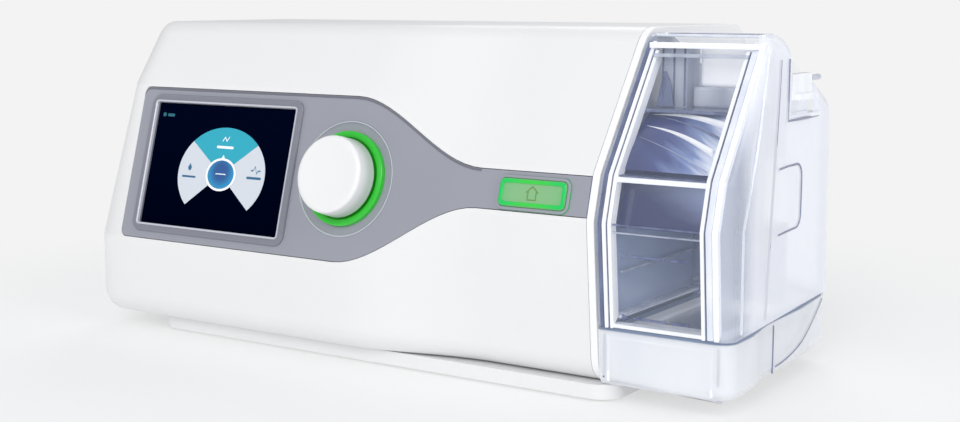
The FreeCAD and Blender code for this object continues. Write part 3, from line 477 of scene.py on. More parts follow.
class Finish:
    """A surface finish built round one Principled shader."""

    def __init__(self, name, colour, roughness=0.4, **fixed):
        self.material = bpy.data.materials.new(name)
        self.material.use_nodes = True
        self.tree = self.material.node_tree
        self.shader = self.tree.nodes["Principled BSDF"]
        self.shader.inputs["Base Color"].default_value = (*colour, 1.0)
        self.shader.inputs["Roughness"].default_value = roughness
        for key, value in fixed.items():
            self.shader.inputs[key.replace("_", " ")].default_value = value
        self.material.diffuse_color = (*colour, 1.0)
        coordinates = self.tree.nodes.new("ShaderNodeTexCoord")
        self.place = Value(self, coordinates.outputs["Object"])

    def add(self, kind, settings, inputs, output=0):
        node = self.tree.nodes.new(kind)
        for key, value in settings.items():
            if key == "stops":
                ramp = node.color_ramp
                while len(ramp.elements) < len(value):
                    ramp.elements.new(0.5)
                for element, (at, colour) in zip(ramp.elements, value):
                    element.position = at
                    element.color = (*colour, 1.0)
            else:
                setattr(node, key, value)
        for key, value in inputs.items():
            if isinstance(value, Value):
                self.tree.links.new(value.socket, node.inputs[key])
            else:
                node.inputs[key].default_value = value
        return Value(self, node.outputs[output])

    def feed(self, name, value):
        self.tree.links.new(value.socket, self.shader.inputs[name])
        return self

    def noise(self, scale, detail=3.0, stretch=None):
        place = self.place
        if stretch:
            place = self.add("ShaderNodeMapping", {}, {"Vector": place, "Scale": stretch})
        return self.add("ShaderNodeTexNoise", {}, {"Vector": place, "Scale": scale, "Detail": detail})

    def axis(self, letter):
        split = self.add("ShaderNodeSeparateXYZ", {}, {"Vector": self.place}, "XYZ".index(letter))
        return split

    def apart_from(self, centre):
        """Distance from a place on the object."""
        return self.add("ShaderNodeVectorMath", {"operation": "DISTANCE"},
                        {0: self.place, 1: centre}, "Value")

    def band(self, value, low, high):
        """0 below low, 1 above high, smooth between."""
        return self.add("ShaderNodeMapRange", {"interpolation_type": "SMOOTHSTEP"},
                        {"Value": value, "From Min": low, "From Max": high})

    def blend(self, factor, first, second):
        mixer = self.tree.nodes.new("ShaderNodeMix")
        mixer.data_type = "RGBA"
        for key, value in (("Factor", factor), ("A", first), ("B", second)):
            sockets = [s for s in mixer.inputs if s.name == key and s.enabled]
            socket = [s for s in sockets if key == "Factor" or s.type == "RGBA"][0]
            if isinstance(value, Value):
                self.tree.links.new(value.socket, socket)
            else:
                socket.default_value = value if key == "Factor" else (*value, 1.0)
        return Value(self, [o for o in mixer.outputs if o.type == "RGBA" and o.enabled][0])

    def grain(self, scale, strength, distance=0.00004):
        """Fine moulded texture as a bump, with a matching change of gloss."""
        fine = self.noise(scale, 4.0)
        bump = self.add("ShaderNodeBump", {}, {"Height": fine, "Strength": strength,
                                              "Distance": distance}, 0)
        self.feed("Normal", bump)
        base = self.shader.inputs["Roughness"].default_value
        self.feed("Roughness", fine * 0.12 + (base - 0.06))
        return self

    def mottle(self, colour, amount=0.03, scale=45.0):
        """Slight unevenness of colour over the piece."""
        wide = self.noise(scale, 2.0)
        dark = tuple(c * (1.0 - amount) for c in colour)
        light = tuple(min(1.0, c * (1.0 + amount)) for c in colour)
        self.feed("Base Color", self.blend(wide, dark, light))
        return self


def moulded(name, colour, roughness=0.42, scale=2600.0, strength=0.12, amount=0.02, **fixed):
    finish = Finish(name, colour, roughness, **fixed)
    return finish.grain(scale, strength).mottle(colour, amount).material


FINISHES = {}


def finish_for(name):
    if name not in FINISHES:
        FINISHES[name] = RECIPES[name]()
    return FINISHES[name]


def casing_white():
    colour = tuple(sizes()[0].white)
    return moulded("Casing white", colour, 0.36, 2200.0, 0.08, 0.012, Specular_IOR_Level=0.4)


def band_white_painted_glow():
    colour = tuple(sizes()[0].white)
    # Painted glow: a weak emission of the casing white lifts the end band out of the shade it stands in.
    return moulded("End band white with painted glow", colour, 0.36, 2200.0, 0.08, 0.012, Specular_IOR_Level=0.4,
                   Emission_Color=(*colour, 1.0), Emission_Strength=0.13)


def panel_grey():
    colour = tuple(sizes()[1].grey)
    return moulded("Panel grey", colour, 0.46, 3200.0, 0.2, 0.03)


def frame_grey():
    colour = tuple(sizes()[1].frame_grey)
    return moulded("Screen frame grey", colour, 0.3, 2600.0, 0.06, 0.02, Coat_Weight=0.3)


def rim_grey_and_highlight():
    # Pale grey for the screen rim, partly a painted highlight along its edge, and for the painted highlight
    # on the knob dish's lip.
    return moulded("Screen rim and painted highlight", (0.56, 0.57, 0.64), 0.25, 2600.0, 0.04, 0.02, Coat_Weight=0.4)


def panel_edge_shadow():
    # Dark grey for the painted shadow that falls under the casing's lip along the panel's top edge.
    return moulded("Panel top edge shadow", (0.16, 0.165, 0.20), 0.4, 2600.0, 0.08, 0.04)


def swoop_painted_reflections():
    """Curved clear plastic, painted deep blue shade at the left and bright painted reflection at the right,
    with streaks.
    """
    finish = Finish("Clear plastic with painted reflections", (0.4, 0.46, 0.62), 0.12, Coat_Weight=0.4)
    fall = finish.axis("Z") + finish.axis("X") * 0.45
    along = finish.add("ShaderNodeCombineXYZ", {}, {"X": finish.axis("X") * 0.3, "Z": fall * 2.4})
    streak = finish.add("ShaderNodeTexNoise", {}, {"Vector": along, "Scale": 130.0, "Detail": 3.0})
    # The ramp across x paints the light: deep blue shade at the left, bright reflection at the right; the
    # streaks break it into painted reflections.
    dark_to_bright_ramp = finish.add("ShaderNodeMapRange", {}, {"Value": finish.axis("X"),
                        "From Min": spot(244, 0, 0).x, "From Max": spot(275, 0, 0).x})
    stops = [(0.2, (0.01, 0.02, 0.12)), (0.5, (0.04, 0.06, 0.22)), (0.7, (0.20, 0.27, 0.50)),
             (0.86, (0.74, 0.79, 0.91)), (1.0, (0.96, 0.97, 1.0))]
    tone = finish.add("ShaderNodeValToRGB", {"stops": stops}, {"Fac": dark_to_bright_ramp * 0.62 + streak * 0.5})
    finish.feed("Base Color", tone).feed("Roughness", streak * 0.2 + 0.05)
    return finish.material


def fold_shade_finish():
    """Painted shade under the fold: dark blue plastic, with painted light making it paler at its upper
    right.
    """
    finish = Finish("Painted fold shade", (0.05, 0.07, 0.22), 0.14, Coat_Weight=0.4)
    rise = finish.axis("Z") + finish.axis("X") * 0.5
    start, stop = spot(254, 0, 68), spot(273, 0, 78)
    haze = finish.noise(60.0, 3.0, (0.5, 1.0, 2.4))
    # This band paints the light: deep shade low down and to the left, paler towards the upper right.
    share = finish.band(rise + haze * 0.006, start.z + start.x * 0.5 + 0.003, stop.z + stop.x * 0.5 + 0.003)
    tone = finish.blend(share, (0.008, 0.016, 0.10), (0.36, 0.44, 0.66))
    finish.feed("Base Color", tone).feed("Roughness", haze * 0.1 + 0.08)
    return finish.material


def post_haze_painted_glow():
    finish = Finish("Hazy clear post with painted glow", (0.84, 0.88, 0.95), 0.12, Coat_Weight=0.5)
    streak = finish.noise(170.0, 3.0, (1.0, 1.0, 0.3))
    tone = finish.blend(streak, (0.66, 0.72, 0.86), (0.99, 0.99, 1.0))
    # A weak emission gives the hazy post a painted glow.
    finish.feed("Base Color", tone).feed("Emission Color", tone)
    finish.shader.inputs["Emission Strength"].default_value = 0.1
    return finish.feed("Alpha", streak * 0.2 + 0.74).material


def block_painted_glow():
    # The white block inside the tank gets a painted glow, and painted shade turns it greyer from its middle
    # to its edges.
    return lit("Block with painted glow", (0.95, 0.95, 0.96), (0.80, 0.82, 0.86), 0.16,
               spot(265.0, 36.0, 113.0), (0.004, 0.014), 0.3)


def knob_white():
    """White on the face, greyer round the grip: painted shade with a painted reflection of the green ring.
    """
    finish = Finish("Knob white with painted side shade", (0.85, 0.852, 0.86), 0.32, Coat_Weight=0.25)
    top = sizes()[1].knob_height / MM
    # Band round the side: painted shade and a painted reflection of the green ring.
    grip = finish.band(finish.apart_from(on_knob(0.0, 0.0, top)), 0.0143, 0.0162)
    finish.grain(2400.0, 0.05)
    tone = finish.blend(grip, (0.85, 0.852, 0.86), (0.56, 0.60, 0.59))
    return finish.feed("Base Color", tone).material


def screen_navy():
    finish = Finish("Screen navy", (0.0005, 0.001, 0.008), 0.12, Specular_IOR_Level=0.0)
    glow = finish.band(finish.axis("Z"), 0.045, 0.1)
    finish.feed("Base Color", finish.blend(glow, (0.0, 0.001, 0.008), (0.0005, 0.002, 0.012)))
    finish.feed("Roughness", finish.noise(900.0) * 0.05 + 0.1)
    return finish.material


def lit(name, colour, edge, strength, centre, reach, roughness=0.25):
    """Lit plastic whose colour changes from its middle to its edge."""
    finish = Finish(name, colour, roughness, Coat_Weight=0.3)
    share = finish.band(finish.apart_from(centre), *reach)
    tone = finish.blend(share, colour, edge)
    finish.feed("Base Color", tone).feed("Emission Color", tone)
    finish.shader.inputs["Emission Strength"].default_value = strength
    return finish.material


def signal_green():
    green = tuple(sizes()[1].green)
    return lit("Signal green", (0.012, 0.34, 0.01), green, 0.2, on_knob(0.0, 0.0), (0.0145, 0.0175))


def key_green():
    return lit("Key green", (0.19, 0.40, 0.19), (0.15, 0.40, 0.16), 0.24, on_panel(*KEY),
               (0.006, 0.0135))


def key_edge():
    return lit("Key edge green", (0.03, 0.50, 0.05), (0.0, 0.48, 0.09), 0.26, on_panel(*KEY),
               (0.004, 0.014))


def screen_colour(name, colour, edge=None, strength=0.12):
    """A recipe for one flat colour on the screen."""
    return lambda: lit(name, colour, edge or colour, strength, (0, 0, 0), (0.0, 0.01), 0.35)


def menu_cyan():
    return lit("Menu cyan", tuple(sizes()[1].cyan), (0.01, 0.36, 0.48), 0.12, (0, 0, 0), (0.0, 0.01),
               0.35)


def menu_hub():
    return lit("Menu hub", (0.01, 0.08, 0.27), (0.01, 0.26, 0.52), 0.12,
               on_panel(HUB[0], HUB[1] + 1.2), (0.0025, 0.0075), 0.35)


def clear_tank():
    tank = sizes()[2]
    tint, frost = tuple(tank.tint), tuple(tank.frost)
    finish = Finish("Clear tank", tint, 0.08, Coat_Weight=0.4, Coat_Roughness=0.05)
    near = finish.add("ShaderNodeMapRange", {}, {"Value": finish.axis("Y"),
                      "From Min": spot(0, 19, 0).y, "From Max": spot(0, 37, 0).y, "To Max": 3.3 * MM})
    far = finish.add("ShaderNodeMapRange", {}, {"Value": finish.axis("Y"),
                     "From Min": spot(0, 70, 0).y, "From Max": spot(0, 106, 0).y, "To Max": 4.0 * MM})
    end = finish.axis("X") + near + far
    ends = finish.band(end, spot(279.2, 0, 0).x, spot(281.2, 0, 0).x)
    rear = finish.band(finish.axis("Y"), spot(0, 6.0, 0).y, spot(0, 22.0, 0).y)
    milky = ends * (rear * 0.5 + 0.45)
    haze = finish.noise(40.0, 2.0)
    tone = finish.blend(milky, tint, frost)
    # A weak emission gives the clear tank a painted glow, standing in for light coming through the plastic.
    finish.feed("Base Color", tone).feed("Emission Color", tone)
    finish.shader.inputs["Emission Strength"].default_value = 0.15
    finish.feed("Alpha", milky * 0.64 + (haze * 0.04 + 0.04))
    finish.feed("Roughness", milky * 0.3 + 0.06)
    return finish.material


def clear_skirt():
    finish = Finish("Clear skirt", (0.82, 0.85, 0.91), 0.14, Coat_Weight=0.4)
    haze = finish.noise(40.0, 2.0, (1.0, 1.0, 0.5))
    tone = finish.blend(haze, (0.80, 0.83, 0.90), (0.93, 0.94, 0.96))
    # A weak emission gives the clear skirt a painted glow.
    finish.feed("Base Color", tone).feed("Emission Color", tone)
    finish.shader.inputs["Emission Strength"].default_value = 0.1
    return finish.feed("Alpha", haze * 0.1 + 0.58).material


def rib_painted_glow():
    finish = Finish("Bright rib with painted glow", (0.86, 0.88, 0.93), 0.12, Coat_Weight=0.6)
    streak = finish.noise(160.0, 2.0, (1.0, 1.0, 0.25))
    finish.feed("Base Color", finish.blend(streak, (0.84, 0.88, 0.96), (0.99, 0.99, 1.0)))
    # A weak white emission gives these pale pieces a painted glow.
    finish.shader.inputs["Emission Color"].default_value = (1.0, 1.0, 1.0, 1.0)
    finish.shader.inputs["Emission Strength"].default_value = 0.1
    finish.feed("Alpha", streak * 0.12 + 0.84)
    return finish.material


def tank_line():
    finish = Finish("Shadow line blue", (0.12, 0.15, 0.30), 0.2, Coat_Weight=0.4)
    streak = finish.noise(220.0, 3.0, (1.0, 1.0, 0.3))
    finish.feed("Base Color", finish.blend(streak, (0.05, 0.06, 0.17), (0.26, 0.32, 0.50)))
    finish.feed("Alpha", streak * 0.4 + 0.5)
    return finish.material


def tank_deep_painted_shade():
    """Thick tinted plastic seen edge-on, with painted shade by height: dark at the shoulder, paler towards
    the floor.
    """
    finish = Finish("Tinted plastic with painted shade", (0.2, 0.23, 0.4), 0.16, Coat_Weight=0.5)
    height = finish.axis("Z")
    waves = finish.noise(26.0, 3.0, (0.6, 1.0, 2.6))
    # Height sets the painted shade: a dark band at the shoulder, paler below it and at the top.
    share = finish.add("ShaderNodeMapRange", {}, {"Value": height + waves * 0.03,
                                                 "From Min": 0.03, "From Max": 0.12})
    stops = [(0.0, (0.62, 0.68, 0.84)), (0.2, (0.42, 0.50, 0.68)), (0.42, (0.32, 0.40, 0.58)),
             (0.5, (0.04, 0.06, 0.20)), (0.7, (0.06, 0.09, 0.27)), (1.0, (0.40, 0.48, 0.70))]
    finish.feed("Base Color", finish.add("ShaderNodeValToRGB", {"stops": stops}, {"Fac": share}))
    finish.feed("Roughness", waves * 0.15 + 0.08)
    return finish.material


def tank_tube():
    finish = Finish("Clear tube", (0.62, 0.68, 0.80), 0.08, Coat_Weight=0.5)
    haze = finish.noise(120.0, 2.0, (1.0, 1.0, 0.2))
    finish.feed("Base Color", finish.blend(haze, (0.28, 0.33, 0.50), (0.86, 0.90, 0.96)))
    finish.feed("Alpha", haze * 0.4 + 0.35)
    return finish.material


def seal_blue():
    return moulded("Seal blue grey", (0.20, 0.26, 0.38), 0.4, 1800.0, 0.15, 0.08)


def rubber_grey():
    return moulded("Rubber grey", (0.09, 0.09, 0.095), 0.75, 1500.0, 0.35, 0.1)


def black_plastic():
    return moulded("Black plastic", (0.02, 0.02, 0.022), 0.5, 2600.0, 0.2, 0.1)


def duct_white():
    return moulded("Duct white", (0.78, 0.79, 0.80), 0.45, 2000.0, 0.1, 0.03)


def brushed(name, colour, stretch, roughness=0.32):
    finish = Finish(name, colour, roughness, Metallic=1.0)
    lines = finish.noise(400.0, 4.0, stretch)
    finish.feed("Roughness", lines * 0.22 + (roughness - 0.1))
    finish.feed("Base Color", finish.blend(lines, tuple(c * 0.88 for c in colour), colour))
    bump = finish.add("ShaderNodeBump", {}, {"Height": lines, "Strength": 0.15, "Distance": 0.00003})
    return finish.feed("Normal", bump).material


def plate_metal():
    return brushed("Brushed aluminium", (0.78, 0.79, 0.80), (1.0, 30.0, 1.0))


def steel():
    return brushed("Bright steel", (0.66, 0.66, 0.67), (20.0, 1.0, 1.0), 0.28)


def board_green():
    finish = Finish("Board green", (0.02, 0.16, 0.07), 0.35, Coat_Weight=0.3)
    tracks = finish.add("ShaderNodeTexBrick", {}, {
        "Vector": finish.place, "Scale": 260.0, "Color1": (0.015, 0.15, 0.06, 1),
        "Color2": (0.02, 0.19, 0.085, 1), "Mortar": (0.05, 0.28, 0.12, 1), "Mortar Size": 0.03})
    return finish.feed("Base Color", tracks).material


def foam_grey():
    finish = Finish("Foam grey", (0.12, 0.125, 0.13), 0.95)
    cells = finish.add("ShaderNodeTexVoronoi", {}, {"Vector": finish.place, "Scale": 900.0}, "Distance")
    bump = finish.add("ShaderNodeBump", {}, {"Height": cells, "Strength": 0.9, "Distance": 0.0006})
    finish.feed("Base Color", finish.blend(cells, (0.03, 0.03, 0.035), (0.2, 0.2, 0.21)))
    return finish.feed("Normal", bump).material


def filter_white():
    finish = Finish("Filter fleece", (0.84, 0.84, 0.82), 0.95)
    fibre = finish.noise(700.0, 6.0, (1.0, 1.0, 3.0))
    bump = finish.add("ShaderNodeBump", {}, {"Height": fibre, "Strength": 0.8, "Distance": 0.0005})
    finish.feed("Base Color", finish.blend(fibre, (0.68, 0.68, 0.65), (0.9, 0.9, 0.88)))
    return finish.feed("Normal", bump).material


def heater_pad():
    finish = Finish("Heater pad", (0.45, 0.20, 0.05), 0.4)
    tracks = finish.add("ShaderNodeTexWave", {"bands_direction": "Y"}, {
        "Vector": finish.place, "Scale": 90.0, "Distortion": 1.5, "Detail": 1.0})
    finish.feed("Base Color", finish.blend(tracks, (0.50, 0.22, 0.05), (0.62, 0.42, 0.2)))
    return finish.material


RECIPES = {
    "casing": casing_white, "band": band_white_painted_glow, "panel": panel_grey, "frame": frame_grey, "knob": knob_white,
    "rim": rim_grey_and_highlight, "edge": panel_edge_shadow, "swoop_painted_reflections": swoop_painted_reflections, "block": block_painted_glow,
    "fold_shade_finish": fold_shade_finish, "post": post_haze_painted_glow,
    "navy": screen_navy, "green": signal_green, "key": key_green, "key_edge": key_edge,
    "clear": clear_tank, "skirt": clear_skirt, "rib": rib_painted_glow, "line": tank_line,
    "deep": tank_deep_painted_shade, "tube": tank_tube, "seal": seal_blue, "rubber": rubber_grey,
    "black": black_plastic, "duct": duct_white, "metal": plate_metal, "steel": steel,
    "board": board_green, "foam": foam_grey, "fleece": filter_white, "pad": heater_pad,
    "menu_top": menu_cyan, "menu_hub": menu_hub,
    "menu_dim": screen_colour("Menu dim cyan", (0.0, 0.11, 0.16)),
    "menu_side": screen_colour("Menu grey", (0.52, 0.56, 0.62), (0.60, 0.64, 0.70)),
    "menu_white": screen_colour("Menu white", (0.80, 0.84, 0.90), strength=0.25),
    "menu_ink": screen_colour("Menu ink", (0.02, 0.12, 0.24), strength=0.15),
    "key_ink": screen_colour("Key ink", (0.13, 0.25, 0.06), strength=0.1),
}


# ------------------------------------------------------------------ operators
class Build:
    """Shared by the operators: they work on the frame, with one undo step."""

    bl_options = {"REGISTER", "UNDO"}

    def execute(self, context):
        self.build(*sizes())
        return {"FINISHED"}


class VENT_OT_stage(Build, bpy.types.Operator):
    """Floor, soft lights and the camera"""

    bl_idname = "vent.stage"
    bl_label = "Stage"

    def build(self, casing, panel, tank):
        clear_selection()
        bpy.ops.mesh.primitive_plane_add(size=8.0, location=(0, 0, -0.0002))
        floor = bpy.context.object
        floor.name = "floor"
        bpy.ops.object.mode_set(mode="EDIT")
        bpy.ops.mesh.subdivide(number_cuts=4)
        bpy.ops.object.mode_set(mode="OBJECT")
        material = bpy.data.materials.new("Pale floor")
        material.use_nodes = True
        tree = material.node_tree
        shader = tree.nodes["Principled BSDF"]
        shader.inputs["Base Color"].default_value = (0.55, 0.55, 0.55, 1)
        shader.inputs["Roughness"].default_value = 0.9
        shader.inputs["Specular IOR Level"].default_value = 0.0
        shader.inputs["Emission Color"].default_value = (1, 1, 1, 1)
        shader.inputs["Emission Strength"].default_value = 0.39
        plain = tree.nodes.new("ShaderNodeEmission")
        plain.inputs["Color"].default_value = (0.896, 0.896, 0.896, 1)
        place = tree.nodes.new("ShaderNodeTexCoord")
        apart = tree.nodes.new("ShaderNodeVectorMath")
        apart.operation = "LENGTH"
        fade = tree.nodes.new("ShaderNodeMapRange")
        fade.interpolation_type = "SMOOTHSTEP"
        fade.inputs["From Min"].default_value = 0.17
        fade.inputs["From Max"].default_value = 0.34
        mixer = tree.nodes.new("ShaderNodeMixShader")
        tree.links.new(place.outputs["Object"], apart.inputs[0])
        tree.links.new(apart.outputs["Value"], fade.inputs["Value"])
        tree.links.new(fade.outputs[0], mixer.inputs[0])
        tree.links.new(shader.outputs[0], mixer.inputs[1])
        tree.links.new(plain.outputs[0], mixer.inputs[2])
        tree.links.new(mixer.outputs[0], tree.nodes["Material Output"].inputs[0])
        floor.data.materials.append(material)

        world = bpy.data.worlds.new("Soft room")
        bpy.context.scene.world = world
        world.use_nodes = True
        nodes, links = world.node_tree.nodes, world.node_tree.links
        nodes.clear()
        out = nodes.new("ShaderNodeOutputWorld")
        room = nodes.new("ShaderNodeBackground")
        room.inputs["Color"].default_value = (0.95, 0.97, 1.0, 1)
        room.inputs["Strength"].default_value = 0.54
        seen = nodes.new("ShaderNodeBackground")
        seen.inputs["Color"].default_value = (0.896, 0.896, 0.896, 1)
        seen.inputs["Strength"].default_value = 1.0
        path = nodes.new("ShaderNodeLightPath")
        either = nodes.new("ShaderNodeMath")
        either.operation = "MAXIMUM"
        links.new(path.outputs["Is Camera Ray"], either.inputs[0])
        links.new(path.outputs["Is Transmission Ray"], either.inputs[1])
        mixer = nodes.new("ShaderNodeMixShader")
        links.new(either.outputs[0], mixer.inputs[0])
        links.new(room.outputs[0], mixer.inputs[1])
        links.new(seen.outputs[0], mixer.inputs[2])
        links.new(mixer.outputs[0], out.inputs[0])

        def lamp(name, place, target, width, power):
            light = bpy.data.lights.new(name, "AREA")
            light.shape = "DISK"
            light.size = width
            light.energy = power
            holder = bpy.data.objects.new(name, light)
            bpy.context.collection.objects.link(holder)
            holder.location = place
            aim = Vector(target) - Vector(place)
            holder.rotation_euler = aim.to_track_quat("-Z", "Y").to_euler()

        lamp("key lamp", (0.45, -1.35, 0.85), (0, 0, 0.06), 1.0, 11.0)
        lamp("right lamp", (1.3, -0.3, 0.8), (0.1, 0, 0.06), 0.8, 4.2)
        lamp("rear lamp", (-0.5, 1.2, 1.2), (0, 0, 0.06), 0.9, 4.5)
        lamp("left lamp", (-1.3, -0.4, 0.7), (-0.1, 0, 0.06), 0.8, 1.2)

        view = bpy.data.cameras.new("View")
        view.sensor_width = 36.0
        view.lens = 36.0 * 1482.04 / 960.0
        holder = bpy.data.objects.new("View", view)
        bpy.context.collection.objects.link(holder)
        holder.location = spot(473.06, -425.58, 135.76)
        holder.rotation_euler = (math.radians(90.0 - 8.22), 0.0, math.radians(33.70))
        view.clip_start = 0.01
        bpy.context.scene.camera = holder
        bpy.context.scene.view_settings.view_transform = "Standard"


class VENT_OT_casing(Build, bpy.types.Operator):
    """White casing skin with its openings, and the band at the tank end"""

    bl_idname = "vent.casing"
    bl_label = "Casing"

    def build(self, casing, panel, tank):
        end = (casing.length - casing.band) / MM
        stations = [24.0 * (1.0 - math.cos(math.radians(a))) for a in range(0, 91, 9)]
        stations += [60.0, 95.0, 128.0]
        stations += sweep_stations()
        stations += [205.0, end]
        rings = [[spot(x, y, z) for y, z in casing_section(x)] for x in stations]
        skin = loft("casing-skin", rings, True, (True, False))
        modify(skin, "SOLIDIFY", thickness=casing.wall, offset=-1.0, use_even_offset=False)
        window = slab("window", [panel_loop(0.25)], 12.0, lambda x, s, o: on_panel(x, s, o + 5.0))
        back = casing.back / MM
        cutters = [
            window,
            cutter_box(16.0, 14.0, 2.0, 221.0, 104.0, 11.0),
            cutter_box(70.0, back - 8.0, 46.0, 122.0, back + 4.0, 96.0),
            cutter_box(-3.0, 56.0, 52.0, 6.0, 86.0, 72.0),
            cutter_box(33.0, back - 6.0, 20.0, 55.0, back + 4.0, 34.0),
            lathe("hole", [(11.5, -8.0), (11.5, 4.0)],
                  lambda a, b, h: spot(206.0 + a, back + h, PORT_HEIGHT + b), 64),
        ]
        carve(skin, *cutters)
        done(skin, finish_for("casing"), "casing", "upper_shell", angle=24.0, slot="case_white")

        for name, low, high, window in (
            ("door-ledge", (70.3, back - 3.2, 50.2), (121.7, back - 1.9, 95.7),
             (74.0, back - 8.0, 50.0, 118.0, back + 4.0, 92.0)),
            ("card-ledge", (1.9, 60.2, 52.3), (3.0, 85.7, 71.7), (-1.0, 62.0, 57.0, 8.0, 82.0, 67.0)),
        ):
            ledge = block(name, spot(*low), spot(*high), 0.3, 2)
            carve(ledge, cutter_box(*window))
            done(ledge, finish_for("casing"), "casing", slot="case_white")

        length = casing.length / MM
        steps = [(end + 0.05, 0.5), (end + 0.15, 0.12), (end + 0.5, 0.0), (length - 0.5, 0.0),
                 (length - 0.12, 0.15), (length, 0.55)]
        rings = [[spot(x, y, z) for y, z in casing_section(x, inset)] for x, inset in steps]
        band = loft("end-band", rings)
        holes = []
        for port in PORTS:
            holes.append(port_cutter(length, port, PORT_RADIUS, -6.0, 4.0))
            holes.append(port_cutter(length, port, 12.3, -1.2, 4.0))
        carve(band, *holes)
        done(band, finish_for("band"), "casing", "end_frame", angle=24.0, slot="case_white")
        seam_rings = []
        for x, inset in ((end - 0.25, 1.2), (end - 0.25, 0.25), (end + 0.1, 0.25), (end + 0.1, 1.2)):
            seam_rings.append([spot(x, y, z) for y, z in casing_section(x, inset)])
        seam = loft("end-seam", seam_rings + seam_rings[:1], True, (False, False))
        done(weld(seam), finish_for("line"), "casing", slot="seal_blue")


def cutter_box(x0, y0, z0, x1, y1, z1):
    return block("cutter", spot(x0, y0, z0), spot(x1, y1, z1), 0.2, 1)


def port_cutter(x, y, radius=PORT_RADIUS, start=-4.0, stop=6.0):
    """A drill along x for one air port."""
    return lathe("port", [(radius, start), (radius, stop)],
                 lambda a, b, h: spot(x + h, y + a, PORT_HEIGHT + b), 48)


def panel_loop(grow):
    """Outline of the control panel in its own plane, grown by a clearance."""
    left, right = 19.4 - grow, 233.3 + grow
    foot, head = -35.1, 26.8
    tail_foot, tail_head = -10.3, 3.5
    top = [(x, mix(head, tail_head, sweep_at(x)) + grow) for x in sweep_stations()]
    low = [(x, mix(foot, tail_foot, sweep_at(x)) - grow) for x in sweep_stations()]
    corner = rounded([(left, foot - grow), (left + 40, foot - grow), (left + 40, head + grow),
                      (left, head + grow)], 3.0, 6)
    lower_left, upper_left = corner[:6], corner[18:]
    return (lower_left + low + [(right, tail_foot - grow), (right, tail_head + grow)]
            + list(reversed(top)) + upper_left)


